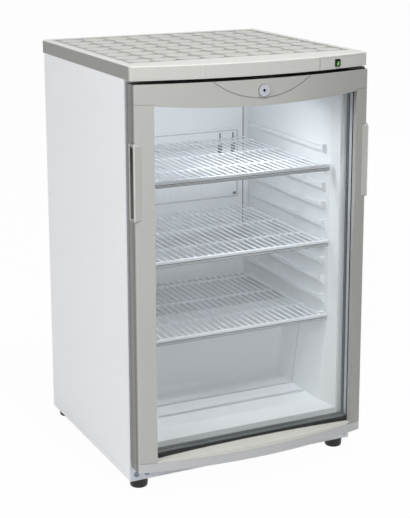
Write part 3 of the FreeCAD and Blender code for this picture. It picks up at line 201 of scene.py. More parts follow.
def front_bead(half, top, back, cols=61):
    """A shelf's front trim, a section carried straight across. Down its front, the section bulges by a
    flattened half ellipse, falls back to a groove, and bulges by a second, smaller half ellipse. Its back
    is flat, and both ends are scaled down over a small round."""
    upper_half, upper_proud = 4.3, 2.6
    lower_middle, lower_half, lower_proud = 11.7, 1.9, 2.2
    groove_proud, edge = 0.3, 0.2
    down = np.linspace(0.0, TRIM_TALL, cols)[None]
    upper = upper_proud * np.maximum(1 - np.abs((down - upper_half) / upper_half) ** 3, 0) ** 0.5
    lower = lower_proud * np.maximum(1 - ((down - lower_middle) / lower_half) ** 2, 0) ** 0.5
    groove = groove_proud * (down > edge) * (down < TRIM_TALL - edge)
    bulge = np.maximum(np.maximum(upper, lower), groove)
    from_end = np.array([0.0, 0.0, 0.3, 1.2])
    end_share = np.array([0.0, 0.7, 0.9, 1.0])
    x = np.concatenate([from_end - half, half - from_end[::-1]])[:, None]
    share = np.concatenate([end_share, end_share[::-1]])[:, None]
    middle = TRIM_TALL / 2
    return np.stack([x + 0 * down, back - bulge * share, top - middle - (down - middle) * share], -1)


def corner_strip(side, inner, outer, front, thick, curl, bottom, top, cols=12):
    """A strip that closes the rear panel's edge to the wall: a flat section whose wall side curls forward by
    a quarter of a cosine wave, carried straight up, with both ends closed."""
    u = np.linspace(0.0, 1.0, cols)
    across = inner + (outer - inner) * u
    face = front - curl * (1 - np.cos(np.pi / 2 * np.maximum(0, (u - 0.5) / 0.5)))
    x = np.concatenate([across, across[::-1]])
    y = np.concatenate([face, (face + thick)[::-1]])
    z = np.array([bottom, bottom, top, top])[:, None]
    share = np.array([0.0, 1.0, 1.0, 0.0])[:, None]
    drawn_x = x.mean() + (x - x.mean()) * share
    drawn_y = y.mean() + (y - y.mean()) * share
    return np.stack([side * drawn_x, drawn_y, z + 0 * x], -1)


# Shared surface effects


def feed(tree, made, ins):
    """A node's inputs set, each to a plain value or to the socket that feeds it."""
    for key, value in ins.items():
        if isinstance(value, bpy.types.NodeSocket):
            tree.links.new(value, made.inputs[key])
        else:
            made.inputs[key].default_value = value


def put(tree, kind, ins=None, **props):
    """One shader node, with its settings and its inputs."""
    made = tree.nodes.new("ShaderNode" + kind)
    for key, value in props.items():
        setattr(made, key, value)
    feed(tree, made, ins or {})
    return made


def use(tree, group, ins):
    """A shared effect placed in a material with its own values."""
    made = tree.nodes.new("ShaderNodeGroup")
    made.node_tree = group
    feed(tree, made, ins)
    return made.outputs


def calc(tree, operation, a, b=0.0, clamp=False):
    """One step of arithmetic on values."""
    return put(tree, "Math", {0: a, 1: b}, operation=operation, use_clamp=clamp).outputs[0]


def mix(tree, share, a, b):
    """Colour b laid over colour a by a share."""
    return put(tree, "Mix", {0: share, 6: a, 7: b}, data_type="RGBA").outputs[2]


def ramp(tree, value, low, high):
    """A value as a smooth share between a low and a high mark."""
    ins = {"Value": value, "From Min": low, "From Max": high}
    return put(tree, "MapRange", ins, interpolation_type="SMOOTHSTEP").outputs["Result"]


def rest(tree, share):
    """What a share leaves of one."""
    return calc(tree, "SUBTRACT", 1.0, share)


def short_of(tree, value, low, high):
    """One below a low mark, falling smoothly to nothing at a high mark."""
    return rest(tree, ramp(tree, value, low, high))


def both_of(tree, *shares):
    """The product of shares: where all of them hold."""
    whole = shares[0]
    for share in shares[1:]:
        whole = calc(tree, "MULTIPLY", whole, share)
    return whole


def either_of(tree, a, b):
    """The larger of two shares: where one of them holds."""
    return calc(tree, "MAXIMUM", a, b)


SOFT = 0.6  # the usual soft edge of a mark, in mm


def within(tree, value, low, high, soft=SOFT):
    """One between two marks, with soft ends."""
    rise = ramp(tree, value, low - soft / 2, low + soft / 2)
    return both_of(tree, rise, short_of(tree, value, high - soft / 2, high + soft / 2))


def line_at(tree, value, at, half, soft=SOFT):
    """One along a line of this half width, with soft edges."""
    return within(tree, value, at - half, at + half, soft)


def away(tree, value, at=0.0):
    """How far a value is from a mark, either way."""
    return calc(tree, "ABSOLUTE", calc(tree, "SUBTRACT", value, at))


def distance(tree, a, b):
    """The length of a step of a one way and of b at right angles to it."""
    squares = calc(tree, "ADD", calc(tree, "POWER", a, 2.0), calc(tree, "POWER", b, 2.0))
    return calc(tree, "SQRT", squares)


def here(tree):
    """The place on the piece, in metres, in the part's own frame."""
    return put(tree, "TexCoord").outputs["Object"]


def place(tree):
    """The same place in mm: across, behind the cabinet's front plane, and above the floor."""
    moved = put(tree, "VectorMath", {0: here(tree), 1: (0.0, FRONT_PLANE * MM, 0.0)}, operation="SUBTRACT")
    in_mm = put(tree, "VectorMath", {0: moved.outputs[0], "Scale": 1 / MM}, operation="SCALE")
    return put(tree, "SeparateXYZ", {0: in_mm.outputs[0]}).outputs


def from_bow(tree, x, y, half, apex, bow):
    """How far a place lies behind a bowed front: the arc's radius, from half its width and its rise, less
    the distance to the arc's centre."""
    radius = (half**2 + bow**2) / (2 * bow)
    reach = distance(tree, x, calc(tree, "SUBTRACT", y, apex + radius))
    return calc(tree, "SUBTRACT", radius, reach)


def facing_up(tree):
    """How far the surface faces up: the upright part of its normal."""
    return put(tree, "SeparateXYZ", {0: put(tree, "NewGeometry").outputs["Normal"]}).outputs[2]


def scaled(colour, share):
    """A colour made deeper or paler by one factor."""
    return tuple(level * share for level in colour[:3]) + (1.0,)


def speckle(tree, scale, detail=2.0, rough=0.5, at=None):
    """Soft noise from 0 to 1, with this many features to the metre."""
    ins = {"Vector": at or here(tree), "Scale": scale, "Detail": detail, "Roughness": rough}
    return put(tree, "TexNoise", ins).outputs[0]


def swing(tree, noise, spread):
    """Noise as a shift to both sides of nothing, by up to half a spread."""
    return calc(tree, "MULTIPLY", calc(tree, "SUBTRACT", noise, 0.5), spread)


def brightened(tree, colour, shift):
    """A colour made brighter or darker by twice a shift."""
    value = calc(tree, "ADD", 1.0, calc(tree, "MULTIPLY", shift, 2.0))
    return put(tree, "HueSaturation", {"Color": colour, "Value": value}).outputs[0]


def effect(fill, inputs, outputs):
    """A shared effect: a node group with named inputs and outputs, which fill builds and joins up."""
    tree = bpy.data.node_groups.new(fill.__name__, "ShaderNodeTree")
    kinds = {"c": "NodeSocketColor", "f": "NodeSocketFloat", "v": "NodeSocketVector"}
    for way, sockets in (("INPUT", inputs), ("OUTPUT", outputs)):
        for label, kind in sockets.items():
            tree.interface.new_socket(label, in_out=way, socket_type=kinds[kind])
    start, end = tree.nodes.new("NodeGroupInput"), tree.nodes.new("NodeGroupOutput")
    for label, socket in fill(tree, start.outputs).items():
        tree.links.new(socket, end.inputs[label])
    return tree


def tone_drift(tree, given):
    """The colour's brightness drifts by a spread, in broad soft patches with finer ones inside them."""
    shift = swing(tree, speckle(tree, given["Scale"], detail=3.0), given["Spread"])
    return {"Colour": brightened(tree, given["Colour"], shift)}


def moulded_grain(tree, given):
    """Fine pebbles for the bump's height, and a roughness that drifts in broad patches."""
    fine = speckle(tree, given["Scale"], detail=1.5)
    ripple = speckle(tree, calc(tree, "MULTIPLY", given["Scale"], 0.11), detail=1.0)
    height = calc(tree, "ADD", calc(tree, "MULTIPLY", fine, 0.6), calc(tree, "MULTIPLY", ripple, 0.4))
    shift = swing(tree, speckle(tree, 9.0, detail=4.0, rough=0.6), given["Rough Spread"])
    rough = calc(tree, "ADD", given["Rough"], calc(tree, "MULTIPLY", shift, 2.0), clamp=True)
    return {"Height": height, "Roughness": rough}


def settled_dust(tree, given):
    """Dust on what faces up: the upward share of the normal squared, broken up by noise."""
    lie = calc(tree, "POWER", calc(tree, "MAXIMUM", facing_up(tree), 0.0), 2.0)
    broken = ramp(tree, speckle(tree, 60.0, detail=5.0, rough=0.65), 0.32, 0.72)
    mask = calc(tree, "MULTIPLY", both_of(tree, lie, broken), given["Amount"], clamp=True)
    return {"Colour": mix(tree, mask, given["Colour"], given["Dust"])}


def rubbed_marks(tree, given):
    """Fine hair scratches: thin bands of a stretched noise, thinned out by a broad one."""
    stretch = {"Vector": here(tree), "Rotation": (0.3, 0.5, 0.7), "Scale": (1.0, 9.0, 30.0)}
    hair = speckle(tree, given["Scale"], at=put(tree, "Mapping", stretch).outputs[0])
    line = short_of(tree, away(tree, hair, 0.5), 0.0, 0.018)
    area = ramp(tree, speckle(tree, 14.0, detail=3.0), 0.5, 0.72)
    return {"Mask": calc(tree, "MULTIPLY", both_of(tree, line, area), given["Amount"], clamp=True)}


def spangle(tree, given):
    """The zinc flowers of galvanised sheet: cells of a Voronoi pattern, each with its own brightness."""
    stray = put(tree, "TexNoise", {"Vector": here(tree), "Scale": 90.0}).outputs[1]
    at = put(tree, "VectorMath", {0: here(tree), 1: stray}, operation="ADD").outputs[0]
    cell = put(tree, "TexVoronoi", {"Vector": at, "Scale": given["Scale"]}).outputs["Color"]
    shift = swing(tree, put(tree, "SeparateColor", {0: cell}).outputs[0], given["Spread"])
    rough = calc(tree, "ADD", given["Rough"], calc(tree, "MULTIPLY", shift, 0.6), clamp=True)
    return {"Colour": brightened(tree, given["Colour"], shift), "Roughness": rough}


def drawn_lines(tree, given):
    """Fine lines left by drawing or rolling: noise squeezed across the lines and stretched along them."""
    at = put(tree, "VectorMath", {0: here(tree), 1: given["Squeeze"]}, operation="MULTIPLY").outputs[0]
    lines = speckle(tree, 1.0, detail=3.0, rough=0.6, at=at)
    rough = calc(tree, "ADD", given["Rough"], swing(tree, lines, given["Spread"]), clamp=True)
    return {"Height": lines, "Roughness": rough}


SKIN = {"Height": "f", "Roughness": "f"}
TONE = effect(tone_drift, {"Colour": "c", "Scale": "f", "Spread": "f"}, {"Colour": "c"})
GRAIN = effect(moulded_grain, {"Scale": "f", "Rough": "f", "Rough Spread": "f"}, SKIN)
DUST = effect(settled_dust, {"Colour": "c", "Dust": "c", "Amount": "f"}, {"Colour": "c"})
MARKS = effect(rubbed_marks, {"Scale": "f", "Amount": "f"}, {"Mask": "f"})
SPANGLE = effect(spangle, {"Colour": "c", "Scale": "f", "Spread": "f", "Rough": "f"},
                 {"Colour": "c", "Roughness": "f"})
LINES = effect(drawn_lines, {"Squeeze": "v", "Rough": "f", "Spread": "f"}, SKIN)

# Finishes


def rgb(*levels):
    """A colour as it is seen, 0 to 255, as the linear values that a shader takes."""
    share = np.array(levels) / 255.0
    linear = np.where(share <= 0.04045, share / 12.92, ((share + 0.055) / 1.055) ** 2.4)
    return (*linear.tolist(), 1.0)


WHITE = (1.0, 1.0, 1.0, 1.0)
DUST_GREY = (0.56, 0.54, 0.50, 1.0)
ROUGH_SPREAD = 0.05
# Painted on the lid: shade in the sunk field and less on the disc tops, and a highlight along the rolled
# edge.
FIELD_SHADE, DISC_TOP_SHADE, ROLLED_EDGE_HIGHLIGHT = rgb(143, 143, 138), rgb(176, 176, 172), rgb(226, 226, 221)
PALE_JOINT, DARK_JOINT = rgb(232, 232, 228), rgb(98, 98, 95)
# Painted on the door: light on what faces up, on the low rail and on its brow, and the lid's shadow on the
# top rail.
DOOR_GREY, DOOR_DARK, DOOR_TOP_SHADOW = rgb(175, 175, 171), rgb(92, 92, 88), rgb(46, 46, 46)
DOOR_UPLIT, DOOR_LOW_LIT, DOOR_BROW_LIT = rgb(197, 197, 190), rgb(187, 188, 190), rgb(204, 204, 197)
MOULDING_WHITE, SHELF_WHITE = rgb(239, 242, 245), rgb(244, 248, 254)


def blank(name):
    """A new material with one Principled shader, its tree and that shader."""
    made = bpy.data.materials.new(name)
    made.use_nodes = True
    return made, made.node_tree, made.node_tree.nodes["Principled BSDF"]


def raised(tree, shader, height, deep):
    """A bump of this many metres on the shader's normal."""
    bump = put(tree, "Bump", {"Height": height, "Distance": deep, "Strength": 1.0})
    tree.links.new(bump.outputs[0], shader.inputs["Normal"])


def plain_finish(name, colour, rough, grain=900.0, depth=4e-5, tone=0.025, dust=0.0, marks=0.0, coat=0.0,
                 shade=None):
    """Paint, plastic or rubber: a drifting tone, dust on top, hair scratches, and a fine grain."""
    made, tree, shader = blank(name)
    given = shade(tree, colour) if shade else colour
    seen = use(tree, TONE, {"Colour": given, "Scale": 4.0, "Spread": tone})["Colour"]
    if dust:
        seen = use(tree, DUST, {"Colour": seen, "Dust": DUST_GREY, "Amount": dust})["Colour"]
    skin = use(tree, GRAIN, {"Scale": grain, "Rough": rough, "Rough Spread": ROUGH_SPREAD})
    gloss = skin["Roughness"]
    if marks:
        scratch = use(tree, MARKS, {"Scale": 40.0, "Amount": marks})["Mask"]
        gloss = calc(tree, "ADD", gloss, calc(tree, "MULTIPLY", scratch, 0.25), clamp=True)
    feed(tree, shader, {"Base Color": seen, "Roughness": gloss})
    raised(tree, shader, skin["Height"], depth)
    if coat:
        feed(tree, shader, {"Coat Weight": coat, "Coat Roughness": 0.12})
    return made


def metal_finish(name, colour, rough, squeeze, tone=0.05, tarnish=None, shade=None):
    """Bare metal: drawn or rolled lines, a drifting tone, and tarnish in patches where it is given."""
    made, tree, shader = blank(name)
    given = shade(tree, colour) if shade else colour
    seen = use(tree, TONE, {"Colour": given, "Scale": 11.0, "Spread": tone})["Colour"]
    if tarnish:
        patch = ramp(tree, speckle(tree, 34.0, detail=5.0, rough=0.6), 0.46, 0.68)
        seen = mix(tree, calc(tree, "MULTIPLY", patch, 0.7), seen, tarnish)
    skin = use(tree, LINES, {"Squeeze": squeeze, "Rough": rough, "Spread": 0.12})
    feed(tree, shader, {"Base Color": seen, "Roughness": skin["Roughness"], "Metallic": 1.0})
    raised(tree, shader, skin["Height"], 6e-6)
    return made


def worktop_shade(tree, colour):
    """The lid's ends carry painted shade, its rolled edge a painted highlight, its sunk field painted shade
    and the disc tops less of it. Two upright joints part the fascia: a pale one on the left, and a dark one
    beside the control panel."""
    x, y, z = place(tree)
    off = away(tree, x)
    corner = WORKTOP_APEX + WORKTOP_BOW
    beside = ramp(tree, off, WORKTOP_HALF - 1.7, WORKTOP_HALF - 0.2)
    end = both_of(tree, beside, ramp(tree, y, corner + 2.0, corner + 11.0))
    # Painted shade on the lid's ends.
    seen = mix(tree, end, colour, scaled(colour, 0.50))
    inside = short_of(tree, off, FIELD_HALF + 0.1, FIELD_HALF + 0.7)
    inside = both_of(tree, inside, ramp(tree, y, FIELD_FRONT - 0.8, FIELD_FRONT))
    sunk = within(tree, z, FIELD_FLOOR - 0.2, FIELD_FLOOR + 0.3, soft=0.3)
    # Painted shade in the sunk field between the discs, and less of it on the disc tops.
    seen = mix(tree, both_of(tree, inside, sunk), seen, FIELD_SHADE)
    disc = line_at(tree, z, DISC_TOP, 0.3, soft=0.3)
    seen = mix(tree, both_of(tree, inside, disc), seen, DISC_TOP_SHADE)
    behind = from_bow(tree, x, y, WORKTOP_HALF, WORKTOP_APEX, WORKTOP_BOW)
    ahead = short_of(tree, y, PART_MIDDLE, PART_MIDDLE + 20.0)
    ahead = both_of(tree, ahead, short_of(tree, behind, 1.4, 3.4))
    rim = either_of(tree, ahead, ramp(tree, off, WORKTOP_HALF - 3.0, WORKTOP_HALF - 1.0))
    rolled = both_of(tree, rim, ramp(tree, z, WORKTOP_TOP - 2.6, WORKTOP_TOP - 1.2), 0.6)
    # Painted highlight along the rolled top edge.
    seen = mix(tree, rolled, seen, ROLLED_EDGE_HIGHLIGHT)
    front = short_of(tree, y, corner - 1.0, corner + 3.0)
    front = both_of(tree, front, short_of(tree, z, WORKTOP_TOP - 3.5, WORKTOP_TOP - 2.5))
    seen = mix(tree, both_of(tree, front, line_at(tree, x, FASCIA_SEAM, 0.7), 0.7), seen, PALE_JOINT)
    return mix(tree, both_of(tree, front, line_at(tree, x, CONTROL_SEAM, 0.7), 0.6), seen, DARK_JOINT)


def door_shade(tree, colour):
    """Painted light and shade on the door frame: painted shade on its ends, in bands along its depth, and
    painted light on what faces up. Painted shade deepens the hinge side a little, and painted light makes
    the bottom rail paler. The curved groove round the lock carries painted shade, the joints between rails
    and stiles are dark, and the top rail's upper face carries a painted shadow of the lid."""
    x, y, z = place(tree)
    off = away(tree, x)
    corner = DOOR_APEX + DOOR_BOW
    beside = ramp(tree, off, STILE_INNER - 0.5, STILE_INNER + 0.5)
    # Painted shade deepening towards the hinge side.
    seen = mix(tree, ramp(tree, x, -20.0, 210.0), colour, scaled(colour, 0.80))
    # Painted light on the bottom rail, and on its brow between the stiles.
    seen = mix(tree, short_of(tree, z, LOW_JOINT - 1.2, LOW_JOINT + 0.2), seen, DOOR_LOW_LIT)
    brow = within(tree, z, LOW_JOINT + 0.2, LOW_RAIL_TOP, soft=0.4)
    seen = mix(tree, both_of(tree, brow, rest(tree, beside)), seen, DOOR_BROW_LIT)
    # Painted shade on the frame's ends, in bands along the depth.
    end = ramp(tree, off, DOOR_HALF - 2.7, DOOR_HALF - 0.3)
    end = both_of(tree, end, ramp(tree, y, corner, corner + 7.0))
    band = within(tree, y, -29.0, -15.0, soft=4.0)
    seen = mix(tree, end, seen, mix(tree, band, scaled(colour, 0.28), scaled(colour, 0.44)))
    # Painted light on what faces up.
    seen = mix(tree, ramp(tree, facing_up(tree), 0.55, 0.95), seen, DOOR_UPLIT)
    # Painted shadow of the lid on the top rail's upper face.
    behind = from_bow(tree, x, y, DOOR_HALF, DOOR_APEX, DOOR_BOW)
    top_shadow = both_of(tree, ramp(tree, z, DOOR_TOP - 0.3, DOOR_TOP - 0.1), ramp(tree, behind, 2.4, 3.6))
    seen = mix(tree, top_shadow, seen, DOOR_TOP_SHADOW)
    # Painted shade in the curved groove round the lock.
    reach = distance(tree, x, calc(tree, "SUBTRACT", z, GROOVE_CENTRE))
    groove = both_of(tree, line_at(tree, reach, GROOVE_RADIUS, 0.9), short_of(tree, y, -50.0, -48.0))
    groove = both_of(tree, groove, ramp(tree, z, HIGH_JOINT - 4.0, HIGH_JOINT - 3.0), 0.35)
    seen = mix(tree, groove, seen, DOOR_DARK)
    joint = either_of(tree, line_at(tree, z, HIGH_JOINT, 0.6), line_at(tree, z, LOW_JOINT, 0.6))
    return mix(tree, both_of(tree, joint, beside, 0.45), seen, DOOR_DARK)


def grip_shade(tree, colour):
    """The grip's side face carries painted shade and its lips' edges a painted highlight; its finger well is
    deep, with painted shade darkest at the top.
    """
    x, y, z = place(tree)
    off = away(tree, x)
    # Painted shade on the grip's side face.
    lip = ramp(tree, off, GRIP_OUT - 2.5, GRIP_OUT - 0.5)
    lip = both_of(tree, lip, ramp(tree, y, GRIP_FRONT + 0.5, GRIP_FRONT + 2.5))
    seen = mix(tree, lip, colour, scaled(colour, 0.62))
    # Painted highlight along the lips' edges.
    ahead = short_of(tree, y, GRIP_FRONT + 1.0, GRIP_FRONT + 3.0)
    edge = either_of(tree, ahead, ramp(tree, y, WELL_BACK - 1.5, WELL_BACK))
    edge = both_of(tree, edge, ramp(tree, off, GRIP_OUT - 2.0, GRIP_OUT - 0.8))
    seen = mix(tree, edge, seen, rgb(218, 217, 210))
    # Painted shade in the finger well, darkest at the top.
    well = short_of(tree, off, GRIP_OUT - 2.5, GRIP_OUT - 1.0)
    well = both_of(tree, well, within(tree, y, WELL_FRONT - 0.3, WELL_BACK + 0.3))
    deep = mix(tree, ramp(tree, z, 580.0, 700.0), scaled(colour, 0.62), scaled(colour, 0.22))
    return mix(tree, well, seen, deep)


def trim_shade(tree, colour):
    """Down each shelf trim, painted shade darkens the groove between its beads and its lower lip, and greys
    the lower bead."""
    shelves_down = calc(tree, "DIVIDE", calc(tree, "SUBTRACT", SHELF_TOPS[0], place(tree)[2]), SHELF_STEP)
    down = calc(tree, "MULTIPLY", calc(tree, "FRACT", shelves_down), SHELF_STEP)
    # Painted shade in the groove, under the lip and on the lower bead.
    groove = within(tree, down, 6.4, 10.2, soft=0.8)
    lip = within(tree, down, 12.2, 20.0, soft=0.8)
    seen = mix(tree, both_of(tree, ramp(tree, down, 10.0, 10.4), 0.6), colour, rgb(150, 155, 160))
    return mix(tree, both_of(tree, either_of(tree, groove, lip), 0.95), seen, rgb(52, 56, 60))


def ridge_shade(tree, colour):
    """The rear panel's ridge is edged by a fine line of painted shade inside and a fainter one above it."""
    x, _, z = place(tree)
    off = away(tree, x)
    tall, flat = [
        both_of(tree, within(tree, z, RIDGE_LOW + inset, RIDGE_HIGH - inset),
                short_of(tree, off, RIDGE_HALF - inset - 0.3, RIDGE_HALF - inset + 0.3))
        for inset in (1.5, 4.5)
    ]
    # Painted shade along the ridge's edges.
    inner = both_of(tree, tall, rest(tree, flat), 0.45)
    above = within(tree, z, RIDGE_HIGH + 2.2, RIDGE_HIGH + 4.0)
    outer = both_of(tree, above, short_of(tree, off, RIDGE_HALF, RIDGE_HALF + 2.0), 0.16)
    return mix(tree, either_of(tree, inner, outer), colour, rgb(120, 126, 132))


def strip_shade(tree, colour):
    """The joint between the rear panel and the strip beside it carries the gap's painted shade."""
    # Painted shade of the gap beside the rear panel.
    joint = within(tree, away(tree, place(tree)[0]), STRIP_INNER - 0.1, STRIP_INNER + 2.9)
    return mix(tree, both_of(tree, joint, 0.8), colour, rgb(84, 88, 93))


def gasket_shade(tree, colour):
    """The gasket's vinyl carries painted light on the side towards the goods, less of it along the bottom.
    """
    x, _, z = place(tree)
    # Painted light on the side towards the goods, weaker along the bottom.
    inside = short_of(tree, away(tree, x), GASKET_HALF - 4.0, GASKET_HALF + 4.0)
    inside = both_of(tree, inside, within(tree, z, GASKET_LOW, GASKET_HIGH, soft=6.0))
    seen = mix(tree, inside, colour, rgb(205, 210, 213))
    low = short_of(tree, z, GASKET_LOW + 11.0, GASKET_LOW + 15.0)
    return mix(tree, both_of(tree, inside, low), seen, rgb(140, 148, 150))


def lock_shade(tree, colour):
    """Turned metal round the lock's axis, with painted shade: a dark keyhole, a fine dark ring, and a dark
    rim.
    """
    x, _, z = place(tree)
    reach = distance(tree, x, calc(tree, "SUBTRACT", z, LOCK_Z))
    # Painted shade in the ring groove, on the rim and in the keyhole.
    rings = either_of(tree, line_at(tree, reach, 7.0, 0.4, soft=0.5), ramp(tree, reach, 10.4, 11.4))
    seen = mix(tree, both_of(tree, rings, 0.45), colour, rgb(120, 124, 134))
    return mix(tree, short_of(tree, reach, 2.4, 3.4), seen, rgb(30, 31, 33))


def cabinet_shade(tree, colour):
    """The sheet's bent front edge carries painted shade: a cooler, deeper white."""
    # Painted shade of the sheet's bend at its front edge.
    ahead = short_of(tree, place(tree)[1], 1.5, 7.0)
    return mix(tree, both_of(tree, ahead, 0.8), colour, rgb(206, 210, 219))


def liner_shade(tree, colour):
    """A moulded line, darkened by painted shade, crosses the floor of the liner and climbs both walls below
    the lowest shelf. The top of the step over the compressor carries painted shade."""
    _, y, z = place(tree)
    # Painted shade on the step's top.
    step = within(tree, z, STEP_LOW, STEP_HIGH, soft=1.0)
    step = both_of(tree, step, ramp(tree, y, STEP_FRONT, STEP_FRONT + 10.0))
    seen = mix(tree, step, colour, scaled(colour, 0.68))
    # Painted shade in the moulded line.
    line = both_of(tree, line_at(tree, y, LINER_LINE, 1.4, soft=1.0), short_of(tree, z, 270.0, 290.0), 0.6)
    return mix(tree, line, seen, scaled(colour, 0.45))


def spacer_finish():
    """The bar between the panes: bright aluminium with two rows of fine holes, darker along the bottom with
    painted shade, and dark sealant along both panes."""
    hole_row, hole_half, hole_pitch, hole_share = 1.8, 0.6, 4.0, 0.16
    made, tree, shader = blank("spacer_bar")
    x, y, z = place(tree)
    off = away(tree, y, SPACER_MIDDLE)
    sealant = ramp(tree, off, 4.1, 4.7)
    run = calc(tree, "FRACT", calc(tree, "DIVIDE", calc(tree, "ADD", x, z), hole_pitch))
    in_row = calc(tree, "LESS_THAN", away(tree, off, hole_row), hole_half)
    hole = both_of(tree, in_row, calc(tree, "LESS_THAN", away(tree, run, 0.5), hole_share))
    bar = use(tree, TONE, {"Colour": rgb(200, 204, 212), "Scale": 20.0, "Spread": 0.03})["Colour"]
    bar = mix(tree, both_of(tree, hole, 0.75), bar, rgb(60, 62, 66))
    # Painted shade along the bottom run.
    bar = mix(tree, short_of(tree, z, SPACER_FLOOR - 1.5, SPACER_FLOOR), bar, rgb(84, 91, 91))
    skin = use(tree, LINES, {"Squeeze": (900.0, 900.0, 40.0), "Rough": 0.42, "Spread": 0.1})
    feed(tree, shader, {
        "Base Color": mix(tree, sealant, bar, rgb(42, 44, 47)),
        "Roughness": skin["Roughness"],
        "Metallic": both_of(tree, rest(tree, sealant), 0.3),
    })
    raised(tree, shader, skin["Height"], 5e-6)
    return made


def pane_finish():
    """Clear float glass: lamps and soft light pass straight through, and faint wiping smears dull its
    gloss."""
    made, tree, shader = blank("pane_glass")
    smear = ramp(tree, speckle(tree, 7.0, detail=5.0, rough=0.62), 0.5, 0.8)
    tint = mix(tree, both_of(tree, smear, 0.3), (0.92, 0.93, 0.93, 1.0), (0.90, 0.91, 0.91, 1.0))
    feed(tree, shader, {
        "Transmission Weight": 1.0,
        "IOR": 1.45,
        "Base Color": tint,
        "Roughness": both_of(tree, smear, 0.012),
    })
    path = put(tree, "LightPath").outputs
    let_by = either_of(tree, path["Is Shadow Ray"], path["Is Diffuse Ray"])
    clear = put(tree, "BsdfTransparent", {"Color": (0.92, 0.922, 0.922, 1.0)})
    both = put(tree, "MixShader", {0: let_by, 1: shader.outputs[0], 2: clear.outputs[0]})
    tree.links.new(both.outputs[0], tree.nodes["Material Output"].inputs["Surface"])
    return made


def diffuser_finish():
    """The lamp's milky cover: it glows, brightest along the tube behind its middle."""
    made, tree, shader = blank("lamp_cover")
    tube = short_of(tree, away(tree, place(tree)[1], LAMP_MIDDLE), 4.0, 24.0)
    milk = use(tree, TONE, {"Colour": rgb(240, 243, 246), "Scale": 18.0, "Spread": 0.02})["Colour"]
    skin = use(tree, GRAIN, {"Scale": 1400.0, "Rough": 0.45, "Rough Spread": ROUGH_SPREAD})
    feed(tree, shader, {
        "Base Color": milk,
        "Emission Color": mix(tree, tube, (0.82, 0.88, 0.95, 1.0), WHITE),
        "Emission Strength": 1.6,
        "Roughness": skin["Roughness"],
    })
    raised(tree, shader, skin["Height"], 3e-5)
    return made


def zinc_finish():
    """Galvanised sheet with its zinc flowers and rolling lines."""
    made, tree, shader = blank("galvanised_sheet")
    zinc = use(tree, SPANGLE, {"Colour": rgb(184, 187, 190), "Scale": 70.0, "Spread": 0.10, "Rough": 0.42})
    seen = use(tree, DUST, {"Colour": zinc["Colour"], "Dust": DUST_GREY, "Amount": 0.35})["Colour"]
    feed(tree, shader, {"Base Color": seen, "Roughness": zinc["Roughness"], "Metallic": 0.75})
    rolled = use(tree, LINES, {"Squeeze": (700.0, 700.0, 12.0), "Rough": 0.4, "Spread": 0.1})
    raised(tree, shader, rolled["Height"], 4e-6)
    return made


def lens_finish():
    """The rocker's green window, lit from behind, with a finely mottled glow."""
    made, tree, shader = blank("green_window")
    glow = mix(tree, speckle(tree, 500.0, detail=1.0), (0.09, 0.42, 0.02, 1.0), (0.20, 0.66, 0.05, 1.0))
    skin = use(tree, GRAIN, {"Scale": 2500.0, "Rough": 0.22, "Rough Spread": ROUGH_SPREAD})
    feed(tree, shader, {
        "Base Color": glow,
        "Emission Color": glow,
        "Emission Strength": 0.4,
        "Roughness": skin["Roughness"],
    })
    return made


